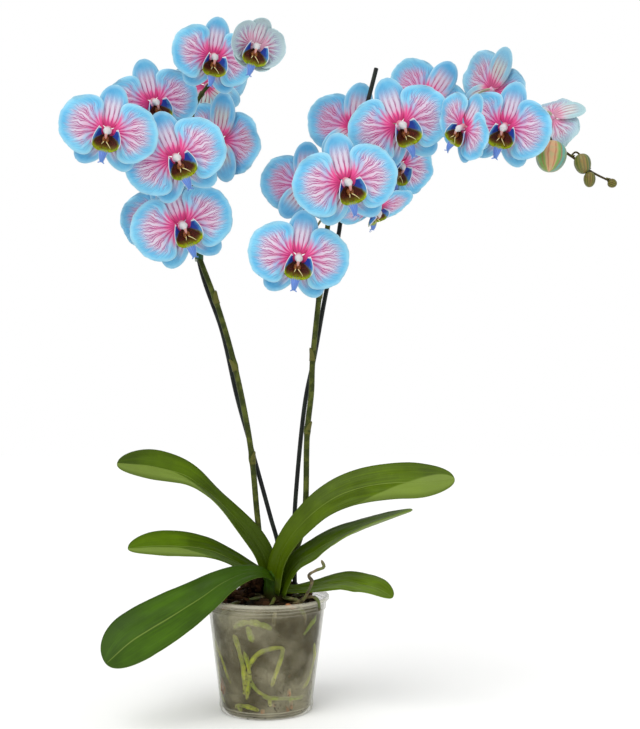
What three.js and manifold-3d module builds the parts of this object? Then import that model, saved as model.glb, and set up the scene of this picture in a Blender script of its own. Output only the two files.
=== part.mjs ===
// A potted moth orchid: a clear nursery pot of bark, a fan of six strap leaves, and two staked flower
// spikes with twenty-one open blooms and four buds. Millimetres, +Z up, the front towards -Y. The
// origin is the centre of the pot's base, on the surface that it stands on.
import * as THREE from "three";
import { mergeVertices } from "three/addons/utils/BufferGeometryUtils.js";
import Module from "manifold-3d";

const wasm = await Module();
wasm.setup();

// ---- Driving dimensions -------------------------------------------------------------------------

const GAP = 0.3; // clearance between pieces that touch
const WELD = 1e-3; // vertices closer than this are one

const POT = {
  height: 107.5,
  baseRadius: 43.4,
  shoulderRadius: 55.6, // at the top of the plain wall
  shoulderHeight: 94,
  collarRadius: 57.2,
  collarHeight: 101.5,
  lipRadius: 60.2,
  lipHeight: 3.4,
  wall: 1.1,
  floor: 1.6,
  footHeight: 6,
  footStep: 0.8,
  drainRadius: 4,
  drainCircle: 27,
  drainHoles: 5,
  sides: 32,
};

const SOIL = {
  edgeHeight: 99,
  crownHeight: 105.5,
  crownRadius: 24,
  chips: 9,
  chipSize: [15, 10, 6],
  chipRing: [16, 44], // chips lie between these distances from the pot's axis
  chipTilt: 20,
  seed: 7,
};
const ROOT = { radius: 2.4, dryRadius: 1.3, sides: 4 };
const CROWN = { x: 8, y: 0, radius: 11, foot: 84, shoulder: 127, top: 141, sides: 14 };
const STEM = { lower: 2.9, upper: 2.3, twig: 1.3, budStalk: 0.9, pedicel: 1.4, sides: 6 };
const STAKE = { radius: 2.2, sides: 6, foot: 14 };
const CLIP = { wrap: 1.6, depth: 5 };
const LEAF = { thickness: 2.2, stepsAlong: 9, stepsAcross: 4 };

// A bloom faces +Z in its own frame, with its top towards +Y.
const BLOOM = {
  thickness: 0.8,
  hubRadius: 6.4,
  hubCorners: [47, 133, 205, 270, 335], // degrees: its five flats face the five tepals
  hubBack: -3.8,
  hubFront: 1.2,
  claw: 3.4, // every tepal starts this far from the centre, inside the hub
  cup: 34, // how far the tips of a closed bloom stand forward
  reflex: 3, // how far the tips of an open bloom lie back
  close: 0.6, // the share of their distance by which the tips of a closed bloom are drawn in
  petal: { length: 53, lift: 5, halfAngle: 61, level: 0.4, wave: 1.4, steps: [2, 4] },
  dorsal: { length: 49, halfWidth: 16, level: -1.8, steps: [4, 1] },
  lateral: { length: 46, halfWidth: 14.5, level: -1.8, steps: [4, 1] },
  lateralSpread: 37,
  keel: 1.2,
};
const LIP = {
  columnTip: 2.8,
  columnFoot: 4.2,
  columnLength: 12,
  back: [[0, -1, 4.5], [7, -10, 3.5], [9, 2, 7]], // from the midline of the floor to the tip of a side lobe
  front: [[0, -23, 8], [26, -22, 15], [11, 3, 13]],
  middle: { start: -20, length: 16, level: 9, rise: 5, halfWidth: 4.6, taper: 0.7 },
};

// ---- Solids and meshes --------------------------------------------------------------------------

function toSolid(geometry) {
  const bare = new THREE.BufferGeometry()
    .setAttribute("position", geometry.getAttribute("position"))
    .setIndex(geometry.index);
  const welded = mergeVertices(bare, WELD);
  const solid = new wasm.Manifold(
    new wasm.Mesh({
      numProp: 3,
      vertProperties: welded.attributes.position.array,
      triVerts: Uint32Array.from(welded.index.array),
    }),
  );
  return solid;
}

function toGeometry(solid) {
  const { vertProperties, triVerts, numProp } = solid.getMesh();
  const geometry = new THREE.BufferGeometry()
    .setAttribute("position", new THREE.InterleavedBufferAttribute(
      new THREE.InterleavedBuffer(vertProperties, numProp), 3, 0))
    .setIndex(new THREE.BufferAttribute(triVerts, 1));
  return geometry.toNonIndexed();
}

const join = (solids) => solids.reduce((whole, next) => whole.add(next));

// The largest body of a solid, without loose scraps.
function largest(solid) {
  return solid.decompose().reduce((a, b) => (b.volume() > a.volume() ? b : a));
}

function material(color, roughness, extra = {}) {
  return new THREE.MeshStandardMaterial({ color, roughness, metalness: 0, ...extra });
}

function meshOf(name, solid, finish) {
  const mesh = new THREE.Mesh(toGeometry(solid), finish);
  mesh.name = name;
  return mesh;
}

const radians = THREE.MathUtils.degToRad;
const vector = ([x, y, z]) => new THREE.Vector3(x, y, z);
const curveThrough = (points) => new THREE.CatmullRomCurve3(points.map(vector), false, "centripetal");

// A regular polygon whose corners lie on the circle of the given radius.
function polygon(radius, sides) {
  const corners = Array.from({ length: sides }, (_, i) => {
    const angle = (2 * Math.PI * i) / sides;
    return new THREE.Vector2(radius * Math.cos(angle), radius * Math.sin(angle));
  });
  return new THREE.Shape(corners);
}

function rod(curve, radius, sides, steps) {
  return toSolid(new THREE.ExtrudeGeometry(polygon(radius, sides), { steps, extrudePath: curve }));
}

// A thin curved blade: the middle surface, a function of u (along) and v (across), both from 0 to 1,
// with half the thickness on each side. Both faces are split along the same diagonals.
function blade([stepsU, stepsV], thickness, surface) {
  const eps = 1e-3;
  const positions = [];
  const faces = [];
  const index = (i, j, side) => 2 * (i * (stepsV + 1) + j) + side;
  for (let i = 0; i <= stepsU; i++) {
    for (let j = 0; j <= stepsV; j++) {
      const [u, v] = [i / stepsU, j / stepsV];
      const alongU = surface(Math.min(u + eps, 1), v).sub(surface(Math.max(u - eps, 0), v));
      const alongV = surface(u, Math.min(v + eps, 1)).sub(surface(u, Math.max(v - eps, 0)));
      const offset = alongU.cross(alongV).setLength(thickness / 2);
      const middle = surface(u, v);
      positions.push(...middle.clone().sub(offset), ...middle.clone().add(offset));
    }
  }
  for (let i = 0; i < stepsU; i++) {
    for (let j = 0; j < stepsV; j++) {
      const [a, b, c, d] = [[i, j], [i + 1, j], [i + 1, j + 1], [i, j + 1]];
      faces.push(index(...a, 1), index(...b, 1), index(...c, 1));
      faces.push(index(...a, 1), index(...c, 1), index(...d, 1));
      faces.push(index(...a, 0), index(...c, 0), index(...b, 0));
      faces.push(index(...a, 0), index(...d, 0), index(...c, 0));
    }
  }
  const rim = [];
  for (let i = 0; i < stepsU; i++) rim.push([i, 0]);
  for (let j = 0; j < stepsV; j++) rim.push([stepsU, j]);
  for (let i = stepsU; i > 0; i--) rim.push([i, stepsV]);
  for (let j = stepsV; j > 0; j--) rim.push([0, j]);
  rim.forEach((here, k) => {
    const next = rim[(k + 1) % rim.length];
    faces.push(index(...here, 0), index(...next, 0), index(...next, 1));
    faces.push(index(...here, 0), index(...next, 1), index(...here, 1));
  });
  const geometry = new THREE.BufferGeometry();
  geometry.setAttribute("position", new THREE.Float32BufferAttribute(positions, 3));
  return toSolid(geometry.setIndex(faces));
}

// Numbers in [0, 1) that are the same in every run.
function seeded(seed) {
  let state = seed;
  return () => {
    state = (state * 16807) % 2147483647;
    return state / 2147483647;
  };
}

// ---- Pot ----------------------------------------------------------------------------------------

// Outer radius of the tapered wall at a height.
function potRadius(z) {
  return THREE.MathUtils.lerp(POT.baseRadius, POT.shoulderRadius, z / POT.shoulderHeight);
}

function potSolid() {
  const { wall, floor, height, footHeight, footStep } = POT;
  const foot = potRadius(footHeight) + footStep;
  const outer = [
    [0, 0],
    [POT.baseRadius - 2, 0],
    [POT.baseRadius + footStep, 2.5],
    [foot, footHeight],
    [potRadius(footHeight + 1), footHeight + 1],
    [POT.shoulderRadius, POT.shoulderHeight],
    [POT.collarRadius, POT.shoulderHeight + 1.5],
    [POT.collarRadius, POT.collarHeight],
    [POT.lipRadius, height - POT.lipHeight],
    [POT.lipRadius, height - 0.6],
    [POT.lipRadius - 0.8, height],
  ];
  const inner = [
    [POT.lipRadius - 2.2, height],
    [POT.collarRadius - wall + 0.4, POT.collarHeight + 1],
    [POT.shoulderRadius - wall, POT.shoulderHeight - 1],
    [potRadius(floor) - wall, floor],
    [0, floor],
  ];
  const profile = [...outer, ...inner].map(([r, z]) => new THREE.Vector2(r, z));
  const shell = new THREE.LatheGeometry(profile, POT.sides).rotateX(Math.PI / 2);
  let pot = toSolid(shell);
  for (let i = 0; i < POT.drainHoles; i++) {
    const angle = (2 * Math.PI * (i + 0.5)) / POT.drainHoles;
    const drill = new THREE.CylinderGeometry(POT.drainRadius, POT.drainRadius, 4 * floor, 6)
      .rotateX(Math.PI / 2)
      .translate(POT.drainCircle * Math.cos(angle), POT.drainCircle * Math.sin(angle), 0);
    pot = pot.subtract(toSolid(drill));
  }
  return pot;
}

// ---- Crown and leaves ---------------------------------------------------------------------------

// The short upright stem; grow widens it on every side.
function crownSolid(grow = 0) {
  const { radius, foot, shoulder, top, sides, x, y } = CROWN;
  const profile = [
    [0, foot - grow],
    [radius * 0.75 + grow, foot - grow],
    [radius + grow, foot + radius * 1.5],
    [radius + grow, shoulder],
    [radius * 0.6 + grow, top - 3],
    [0, top + grow],
  ].map(([r, z]) => new THREE.Vector2(r, z));
  return toSolid(new THREE.LatheGeometry(profile, sides).rotateX(Math.PI / 2).translate(x, y, 0));
}

// Midrib points from the crown outwards; half widths and the ways that the upper face looks, both at
// equal steps along the leaf; how deep the fold is; and the share of the length that the tip rounds off.
const LEAVES = [
  {
    name: "leaf_upper_left",
    midrib: [
      [2, 1, 129], [-7, 0, 151], [-29, -3, 178], [-54, -3, 203],
      [-78, -4, 221], [-108, -6, 230], [-144, -10, 234],
    ],
    halfWidths: [10, 12.5, 12, 14, 17, 17],
    faces: [[0.5, -0.8, 0.3], [0.6, -0.62, 0.5], [0.66, -0.36, 0.65], [0.1, -0.78, 0.62], [0, -0.8, 0.6]],
    fold: 0.3,
    tip: 0.22,
  },
  {
    name: "leaf_middle_left",
    midrib: [
      [6, 8, 118], [-14, 10, 128], [-32, 8, 138], [-55, 0, 149],
      [-80, -10, 154], [-105, -20, 156], [-129, -30, 155],
    ],
    halfWidths: [9, 10, 13, 17, 18, 17],
    faces: [[0.2, -0.4, 0.9], [0.1, -0.5, 0.85], [0, -0.6, 0.8], [0, -0.6, 0.8]],
    fold: 0.2,
    tip: 0.3,
  },
  {
    name: "leaf_lower_left",
    midrib: [
      [4, -12, 118], [-4, -19, 128], [-20, -28, 132], [-38, -36, 124],
      [-56, -44, 113], [-85, -58, 96], [-115, -72, 79], [-137, -84, 61],
    ],
    halfWidths: [7.5, 13, 22, 28, 30, 30],
    faces: [[-0.1, -0.5, 0.85], [-0.25, -0.62, 0.72], [-0.35, -0.72, 0.6], [-0.35, -0.72, 0.6]],
    fold: 0.12,
    tip: 0.2,
  },
  {
    name: "leaf_upper_right",
    midrib: [
      [7, -6, 112], [12, -12, 140], [23, -16, 162], [37, -18, 179], [53, -20, 194],
      [72, -21, 206], [94, -22, 214], [121, -25, 218], [151, -28, 218], [178, -33, 217],
    ],
    halfWidths: [11, 12.5, 16, 20.5, 22, 21],
    faces: [[-0.55, -0.65, 0.5], [-0.4, -0.75, 0.53], [-0.1, -0.8, 0.58], [0.05, -0.82, 0.57]],
    fold: 0.18,
    tip: 0.2,
  },
  {
    name: "leaf_middle_right",
    midrib: [
      [14, -9, 110], [18, -10, 121], [24, -11, 132], [33, -14, 142], [47, -19, 151],
      [57, -22, 158], [74, -27, 167], [95, -33, 176], [137, -46, 193],
    ],
    halfWidths: [10, 13, 17, 19, 18, 14],
    faces: [[-0.6, -0.6, 0.55], [-0.5, -0.46, 0.72], [-0.4, -0.1, 0.9], [-0.35, -0.02, 0.93]],
    fold: 0.22,
    tip: 0.35,
  },
  {
    name: "leaf_lower_right",
    midrib: [
      [12, 3, 112], [28, 0, 112], [45, -1, 114], [60, -7, 118],
      [76, -14, 121], [92, -24, 120], [105, -34, 118], [118, -44, 112],
    ],
    halfWidths: [8, 9, 14, 17, 17, 15],
    faces: [[-0.1, -0.3, 0.95], [0, -0.4, 0.9], [0.1, -0.45, 0.9], [0.35, -0.55, 0.75]],
    fold: 0.12,
    tip: 0.28,
  },
];

// A smooth run through values at equal steps of u, from 0 to 1.
function runThrough(values, u) {
  const last = values.length - 1;
  const step = Math.min(Math.floor(u * last), last - 1);
  const t = u * last - step;
  const [a, b, c, d] = [-1, 0, 1, 2].map((k) => values[THREE.MathUtils.clamp(step + k, 0, last)]);
  const slope = (c - a) / 2;
  const nextSlope = (d - b) / 2;
  return b + t * (slope + t * (3 * (c - b) - 2 * slope - nextSlope + t * (2 * (b - c) + slope + nextSlope)));
}

// Half width of a leaf: its run of half widths, rounded off as a quarter ellipse at the tip.
function leafReach({ halfWidths, tip }, u) {
  const past = Math.max((u - 1 + tip) / tip, 0);
  return runThrough(halfWidths, u) * Math.max(Math.sqrt(1 - past * past), 0.05);
}

function leafSolid(leaf, grow = 0) {
  const midrib = curveThrough(leaf.midrib);
  const surface = (u, v) => {
    const across = 2 * v - 1;
    const along = Math.sin((u * Math.PI) / 2); // finer steps towards the tip
    const tangent = midrib.getTangentAt(along);
    const face = vector([0, 1, 2].map((axis) => runThrough(leaf.faces.map((way) => way[axis]), along)));
    const side = tangent.clone().cross(face).normalize();
    const up = side.clone().cross(tangent).normalize();
    const reach = leafReach(leaf, along) + grow;
    return midrib
      .getPointAt(along)
      .addScaledVector(side, across * reach)
      .addScaledVector(up, Math.abs(across) * leaf.fold * reach);
  };
  return blade([LEAF.stepsAlong, LEAF.stepsAcross], LEAF.thickness + 2 * grow, surface);
}

// ---- Spikes, stakes and buds --------------------------------------------------------------------

const SPIKES = {
  left: {
    lower: [
      [3, 6, 134], [-6, 13, 152], [-10, 12, 181], [-16, -1, 249],
      [-30, -4, 322], [-47, -2, 382], [-69, 2, 440],
    ],
    upper: [
      [-69, 2, 440], [-77, 4, 490], [-79, 4, 543], [-72, 3, 588],
      [-53, 0, 613], [-30, -8, 624], [-12, -20, 622],
    ],
    nodes: [0.34, 0.63, 0.84],
  },
  right: {
    lower: [
      [15, 4, 130], [28, 6, 150], [36, 4, 180], [39, 0, 265],
      [43, 0, 303], [44, 0, 331], [50, 0, 392], [59, 2, 467],
    ],
    upper: [
      [59, 2, 467], [73, 3, 523], [98, 3, 563], [132, 2, 584],
      [175, 0, 591], [218, -4, 584], [257, -8, 565],
    ],
    nodes: [0.41, 0.62, 0.8],
  },
};

// The bare tip of the right spike, which carries the buds.
const TWIG = [
  [257, -8, 565], [274, -10, 551], [289, -12, 538], [303, -12, 528], [315, -12, 518], [334, -12, 508],
];

// Centre, length, half thickness and lean from upright of each closed bud, and where its stalk starts.
const BUDS = [
  { at: [276, -14, 532], length: 31, radius: 15.5, lean: 8, from: [270, -10, 554] },
  { at: [307, -13, 525], length: 20, radius: 8.5, lean: -12, from: [296, -12, 533] },
  { at: [313, -15, 509], length: 15, radius: 6, lean: 0, from: [312, -12, 520] },
  { at: [336, -12, 506], length: 9, radius: 4.6, lean: -70, from: [330, -12, 510] },
];

const STAKES = {
  left: [
    [13, 20, STAKE.foot], [13, 19, 100], [10, 17, 153], [3, 16, 179], [-16, 11, 248],
    [-30, 8, 298], [-45, 10, 362], [-70, 14, 439], [-79, 17, 607],
  ],
  right: [
    [28, 16, STAKE.foot], [27, 15, 100], [26, 14, 169], [28, 12, 207], [37, 10, 295],
    [46, 10, 339], [57, 10, 400], [69, 12, 455], [76, 14, 500], [108, 15, 629],
  ],
};

// A plain ring swelling where a bract wraps the stem.
function stemNode(curve, at, radius) {
  const ring = new THREE.CylinderGeometry(radius * 1.05, radius * 1.3, radius * 2.4, STEM.sides);
  const turn = new THREE.Quaternion().setFromUnitVectors(new THREE.Vector3(0, 1, 0), curve.getTangentAt(at));
  return toSolid(ring.applyQuaternion(turn).translate(...curve.getPointAt(at)));
}

function budSolid({ at, length, radius, lean, from }) {
  const body = new THREE.SphereGeometry(1, 6, 4).scale(radius, length / 2, radius * 0.9)
    .rotateX(Math.PI / 2)
    .rotateY(radians(lean))
    .translate(...at);
  const top = vector(at).add(new THREE.Vector3(Math.sin(radians(lean)), 0, Math.cos(radians(lean)))
    .multiplyScalar(length * 0.45));
  const hook = top.clone().lerp(vector(from), 0.5).add(new THREE.Vector3(0, 0, length * 0.16));
  const stalk = new THREE.CatmullRomCurve3([vector(from), hook, top]);
  return join([toSolid(body), rod(stalk, STEM.budStalk, 4, 3)]);
}

// The flower stalk: out of the stem, round behind the bloom and straight into its back.
function pedicel(place, stem) {
  const back = new THREE.Vector3(0, 0, -1).applyQuaternion(facing(place));
  const end = vector(place.at).addScaledVector(back, (GAP - BLOOM.hubBack) * place.size);
  const start = stem.getPointAt(place.from);
  const span = start.distanceTo(end);
  const lead = stem.getTangentAt(place.from).multiplyScalar(span * 0.25);
  const curve = new THREE.CubicBezierCurve3(
    start,
    start.clone().add(lead),
    end.clone().addScaledVector(back, span * 0.28),
    end,
  );
  return rod(curve, STEM.pedicel, 3, 4);
}

function stemSolid(spike, grow = 0) {
  const lower = curveThrough(spike.lower);
  const upper = curveThrough(spike.upper);
  return join([
    rod(lower, STEM.lower + grow, STEM.sides, 12),
    rod(upper, STEM.upper + grow, STEM.sides, 10),
    ...spike.nodes.map((at) => stemNode(lower, at, STEM.lower + grow)),
  ]);
}

function stakeSolid(points, grow = 0) {
  return rod(curveThrough(points), STAKE.radius + grow, STAKE.sides, 12);
}

// ---- Blooms -------------------------------------------------------------------------------------

// Each bloom: its centre; yaw (to the right), pitch (upwards) and roll (top to the right) of its face,
// in degrees; its size; how far it has opened; and where its stalk leaves the stem, from 0 to 1.
const BLOOMS_LEFT = [
  { name: "l1", at: [-80, -32, 461], yaw: 4, pitch: -12, roll: -19, size: 0.94, open: 1, from: 0.08 },
  { name: "l2", at: [-82, -62, 518], yaw: 3, pitch: -12, roll: -22, size: 0.92, open: 1, from: 0.26 },
  { name: "l3", at: [-140, -86, 537], yaw: 6, pitch: -12, roll: 11, size: 0.85, open: 1, from: 0.22 },
  { name: "l4", at: [-107, -40, 577], yaw: 18, pitch: -12, roll: -16, size: 0.84, open: 1, from: 0.56 },
  { name: "l5", at: [-48, -62, 613], yaw: 20, pitch: -14, roll: 7, size: 0.8, open: 0.9, from: 0.8 },
  { name: "l6", at: [-7, -90, 613], yaw: 14, pitch: -14, roll: 14, size: 0.8, open: 0.3, from: 0.98 },
  { name: "l7", at: [-51, 26, 559], yaw: 150, pitch: 10, roll: -21, size: 0.97, open: 1, from: 0.42 },
  { name: "l8", at: [-65, 42, 620], yaw: 184, pitch: 8, roll: 24, size: 0.82, open: 1, from: 0.7 },
  { name: "l9", at: [-103, 36, 480], yaw: 200, pitch: 6, roll: 13, size: 0.93, open: 1, from: 0.14 },
];

const BLOOMS_RIGHT = [
  { name: "r1", at: [31, -34, 430], yaw: 4, pitch: -10, roll: 9, size: 0.92, open: 1, from: 0.05 },
  { name: "r2", at: [75, -64, 495], yaw: 4, pitch: -12, roll: -12, size: 0.93, open: 1, from: 0.12 },
  { name: "r3", at: [127, -40, 555], yaw: 4, pitch: -14, roll: -20, size: 0.94, open: 1, from: 0.42 },
  { name: "r4", at: [37, 28, 513], yaw: 190, pitch: 8, roll: 0, size: 0.88, open: 1, from: 0.14 },
  { name: "r5", at: [86, 32, 573], yaw: 186, pitch: 8, roll: -9, size: 0.92, open: 1, from: 0.26 },
  { name: "r6", at: [165, 52, 609], yaw: 195, pitch: 4, roll: -32, size: 0.92, open: 1, from: 0.5 },
  { name: "r7", at: [128, 0, 528], yaw: 30, pitch: -22, roll: 14, size: 0.85, open: 0.9, from: 0.3 },
  { name: "r8", at: [105, -10, 483], yaw: 50, pitch: -62, roll: -30, size: 0.8, open: 0.9, from: 0.08 },
  { name: "r9", at: [184, -66, 546], yaw: -58, pitch: -8, roll: 48, size: 0.74, open: 0.9, from: 0.6 },
  { name: "r10", at: [226, 24, 610], yaw: 124, pitch: 6, roll: -42, size: 0.97, open: 0.9, from: 0.74 },
  { name: "r11", at: [227, -38, 554], yaw: -32, pitch: -12, roll: 21, size: 0.87, open: 1, from: 0.8 },
  { name: "r12", at: [283, 10, 578], yaw: 150, pitch: -30, roll: -72, size: 0.86, open: 0.6, from: 0.94 },
];

// The turn that stands a bloom up and faces it to the front, then turns it as its place says.
function facing({ yaw, pitch, roll }) {
  const stand = new THREE.Quaternion().setFromEuler(new THREE.Euler(Math.PI / 2, 0, 0));
  const turn = new THREE.Euler(radians(-pitch), radians(yaw), radians(-roll), "YXZ");
  return stand.multiply(new THREE.Quaternion().setFromEuler(turn));
}

// How far a point of a tepal stands forward of its level: half-open blooms are cupped.
function cupping(distance, open) {
  const reach = distance / BLOOM.petal.length;
  return ((1 - open) * BLOOM.cup - open * BLOOM.reflex) * reach * reach;
}

// The share of its distance from the centre that a point of a tepal keeps: half-open blooms are narrower.
function closing(distance, open) {
  return 1 - (BLOOM.close * (1 - open) * distance) / BLOOM.petal.length;
}

// A broad petal: a fan round the centre, narrow at its claw, with a softly waved edge.
function petalSolid(side, open) {
  const { length, lift, halfAngle, level, wave, steps } = BLOOM.petal;
  const surface = (u, v) => {
    const across = 2 * v - 1;
    const swell = 0.4 * (1 - u) ** 2 + 3.1 * u * (1 - u) + 0.74 * u * u;
    const angle = radians(lift + across * halfAngle * swell);
    const tip = length * (1 - 0.2 * across * across);
    const distance = BLOOM.claw + (tip - BLOOM.claw) * Math.pow(u, 0.8);
    const ripple = wave * u * u * Math.cos(2.5 * Math.PI * across);
    const seen = distance * closing(distance, open);
    return new THREE.Vector3(
      side * seen * Math.cos(angle),
      seen * Math.sin(angle),
      level + ripple + cupping(distance, open),
    );
  };
  return blade(steps, BLOOM.thickness, surface);
}

// A sepal: an ellipse along a direction, in degrees from the top, behind the petals.
function sepalSolid({ length, halfWidth, level, steps }, direction, open) {
  const [sin, cos] = [Math.sin(radians(direction)), Math.cos(radians(direction))];
  const surface = (u, v) => {
    const across = 2 * v - 1;
    const share = (1 - Math.cos(Math.PI * u)) / 2;
    const distance = BLOOM.claw + (length - BLOOM.claw) * share;
    const reach = halfWidth * Math.sqrt(1 - Math.pow((share - 0.5) / 0.505, 2)) * across;
    const keel = -BLOOM.keel * (1 - across * across) * Math.sin(Math.PI * share);
    const drawn = closing(distance, open);
    return new THREE.Vector3(
      drawn * (distance * sin + reach * cos),
      drawn * (distance * cos - reach * sin),
      level + keel + cupping(distance, open) - 1.5 * share,
    );
  };
  return blade(steps, BLOOM.thickness, surface);
}

function tepalsSolid({ open }) {
  const depth = BLOOM.hubFront - BLOOM.hubBack;
  const corners = BLOOM.hubCorners.map((degrees) => new THREE.Vector2(
    BLOOM.hubRadius * Math.cos(radians(degrees)), BLOOM.hubRadius * Math.sin(radians(degrees))));
  const hub = new THREE.ExtrudeGeometry(new THREE.Shape(corners), { depth, bevelEnabled: false })
    .translate(0, 0, BLOOM.hubBack);
  const { dorsal, lateral, lateralSpread } = BLOOM;
  const lower = { ...lateral, level: lateral.level - 1 }; // clears the other where they meet
  return join([
    toSolid(hub),
    sepalSolid(dorsal, 0, open),
    sepalSolid(lateral, 180 - lateralSpread, open),
    sepalSolid(lower, 180 + lateralSpread, open),
    petalSolid(1, open),
    petalSolid(-1, open),
  ]);
}

// The two erect side lobes of the lip and the floor between them: a trough swept from its back edge
// to its front edge, each half running from the midline up to the tip of a lobe.
function sideLobes() {
  const back = new THREE.QuadraticBezierCurve3(...LIP.back.map(vector));
  const front = new THREE.QuadraticBezierCurve3(...LIP.front.map(vector));
  const surface = (u, v) => {
    const across = 2 * v - 1;
    const point = back.getPoint(Math.abs(across)).lerp(front.getPoint(Math.abs(across)), u);
    point.x *= Math.sign(across);
    return point;
  };
  return blade([1, 6], BLOOM.thickness, surface);
}

// The pointed middle lobe of the lip.
function middleLobe() {
  const { start, length, level, rise, halfWidth, taper } = LIP.middle;
  const surface = (u, v) => {
    const across = 2 * v - 1;
    const reach = halfWidth * (1 - taper * Math.pow(u, 1.3));
    const height = level + rise * Math.sin(2.6 * u) - 1.5 * across * across;
    return new THREE.Vector3(reach * across, start - length * u, height);
  };
  return blade([2, 1], BLOOM.thickness, surface);
}

function lipSolid() {
  const { columnTip, columnFoot, columnLength } = LIP;
  const column = new THREE.CylinderGeometry(columnTip, columnFoot, columnLength, 4, 1, false, Math.PI / 4)
    .rotateX(Math.PI / 2)
    .translate(0, 1, BLOOM.hubFront + GAP + columnLength / 2);
  return join([toSolid(column), sideLobes(), middleLobe()]);
}

const PETAL_FINISH = material(0x8fcfee, 0.55);
const LIP_FINISH = material(0x6f8fc8, 0.45);

function bloom(place) {
  const group = new THREE.Group();
  group.add(meshOf("bloom_" + place.name + "_tepals", tepalsSolid(place), PETAL_FINISH.clone()));
  group.add(meshOf("bloom_" + place.name + "_lip", lipSolid(), LIP_FINISH.clone()));
  group.position.set(...place.at);
  group.quaternion.copy(facing(place));
  group.scale.setScalar(place.size);
  return group;
}

// ---- Roots and bark -----------------------------------------------------------------------------

// Where a root lies against the inside of the wall: degrees from the front, to the right, and height.
function wallPoint([degrees, z]) {
  const radius = potRadius(z) - POT.wall - ROOT.radius - 2 * GAP;
  return [radius * Math.sin(radians(degrees)), -radius * Math.cos(radians(degrees)), z];
}

const WALL_ROOTS = [
  [
    [-178, 84], [-130, 88], [-80, 84], [-38, 84], [-17, 90],
    [4, 87], [52, 85], [100, 82], [140, 87], [178, 83],
  ],
  [[-38, 84], [-30, 70], [-26, 50], [-24, 31], [-29, 10]],
  [[62, 86], [70, 62], [74, 46], [62, 30], [40, 19]],
  [[-26, 50], [-9, 59], [5, 67], [18, 62], [15, 44], [6, 20]],
  [[-46, 8], [-29, 11], [-12, 14], [6, 20], [40, 19], [74, 18]],
  [[120, 84], [108, 55], [118, 30], [96, 14], [74, 17]],
  [[-96, 84], [-84, 56], [-92, 30], [-70, 12], [-46, 8]],
  [[-150, 86], [-162, 50], [-140, 22], [-100, 16], [-72, 13]],
];

// Roots over the bark, from beside the crown to the wall, as degrees, and the height of each crest.
const TOP_ROOTS = [
  { degrees: -38, crest: 4 },
  { degrees: 12, crest: 3 },
  { degrees: 46, crest: 4 },
  { degrees: 172, crest: 3 },
  { degrees: -108, crest: 4 },
];

function topRootPath({ degrees, crest }) {
  const edge = vector(wallPoint([degrees, 90]));
  const low = vector(wallPoint([degrees, 79]));
  const out = new THREE.Vector3(edge.x - CROWN.x, edge.y - CROWN.y, 0).normalize();
  const start = new THREE.Vector3(CROWN.x, CROWN.y, SOIL.crownHeight + 1)
    .addScaledVector(out, CROWN.radius + ROOT.radius + 2 * GAP);
  const middle = start.clone().lerp(edge, 0.5).setZ(SOIL.edgeHeight + crest + 3);
  const brink = start.clone().lerp(edge, 0.88).setZ(SOIL.edgeHeight + 2.5);
  return new THREE.CatmullRomCurve3([start, middle, brink, edge, low]);
}

// A dry root that stands up from the bark on the right.
const DRY_ROOT = [[28, -24.5, 105], [37, -35, 106], [42, -42, 122], [50, -43, 141]];

function rootsSolid(grow = 0) {
  const radius = ROOT.radius + grow;
  const wall = WALL_ROOTS.map((path) => {
    return rod(curveThrough(path.map(wallPoint)), radius, ROOT.sides, path.length + 2);
  });
  const top = TOP_ROOTS.map((root) => rod(topRootPath(root), radius, ROOT.sides, 4));
  return join([...wall, ...top, rod(curveThrough(DRY_ROOT), ROOT.dryRadius + grow, 5, 6)]);
}

function chipSolid(random) {
  const [length, width, thickness] = SOIL.chipSize;
  const [near, far] = SOIL.chipRing;
  const angle = 2 * Math.PI * random();
  const distance = near + (far - near) * Math.sqrt(random());
  const size = 0.7 + 0.5 * random();
  const tilt = () => radians(SOIL.chipTilt * (2 * random() - 1));
  const chip = new THREE.BoxGeometry(length * size, width * size, thickness)
    .rotateX(tilt())
    .rotateY(tilt())
    .rotateZ(Math.PI * random())
    .translate(distance * Math.cos(angle), distance * Math.sin(angle), SOIL.edgeHeight + 1);
  return toSolid(chip);
}

function substrateSolid(roots, stakes) {
  const clearance = POT.wall + 2 * ROOT.radius + 4 * GAP;
  const foot = POT.floor + GAP;
  const profile = [
    [0, foot],
    [potRadius(foot) - clearance, foot],
    [potRadius(SOIL.edgeHeight - 6) - clearance, SOIL.edgeHeight - 6],
    [potRadius(SOIL.edgeHeight) - clearance - 5, SOIL.edgeHeight],
    [SOIL.crownRadius, SOIL.crownHeight - 3],
    [0, SOIL.crownHeight],
  ].map(([r, z]) => new THREE.Vector2(r, z));
  const random = seeded(SOIL.seed);
  const bed = toSolid(new THREE.LatheGeometry(profile, 20).rotateX(Math.PI / 2));
  const chips = Array.from({ length: SOIL.chips }, () => chipSolid(random));
  const cuts = [roots, crownSolid(GAP), ...stakes];
  return largest(cuts.reduce((left, cut) => left.subtract(cut), join([bed, ...chips])));
}

// ---- Clips --------------------------------------------------------------------------------------

// A small band round a stem and its stake, at a height where both run nearly upright.
function clipSolid(stemPoint, stakePoint, stem, stake) {
  const [a, b] = [vector(stemPoint), vector(stakePoint)];
  const span = a.distanceTo(b);
  const { wrap, depth } = CLIP;
  const [ra, rb] = [STEM.upper + GAP + wrap, STAKE.radius + GAP + wrap];
  const outline = new THREE.Shape();
  outline.absarc(0, 0, ra, Math.PI / 2, (3 * Math.PI) / 2, false);
  outline.absarc(span, 0, rb, -Math.PI / 2, Math.PI / 2, false);
  const band = new THREE.ExtrudeGeometry(outline, { depth, bevelEnabled: false, curveSegments: 5 })
    .translate(0, 0, -depth / 2)
    .rotateZ(Math.atan2(b.y - a.y, b.x - a.x))
    .translate(...a);
  return toSolid(band).subtract(stem).subtract(stake);
}

// ---- The whole plant ----------------------------------------------------------------------------

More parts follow.
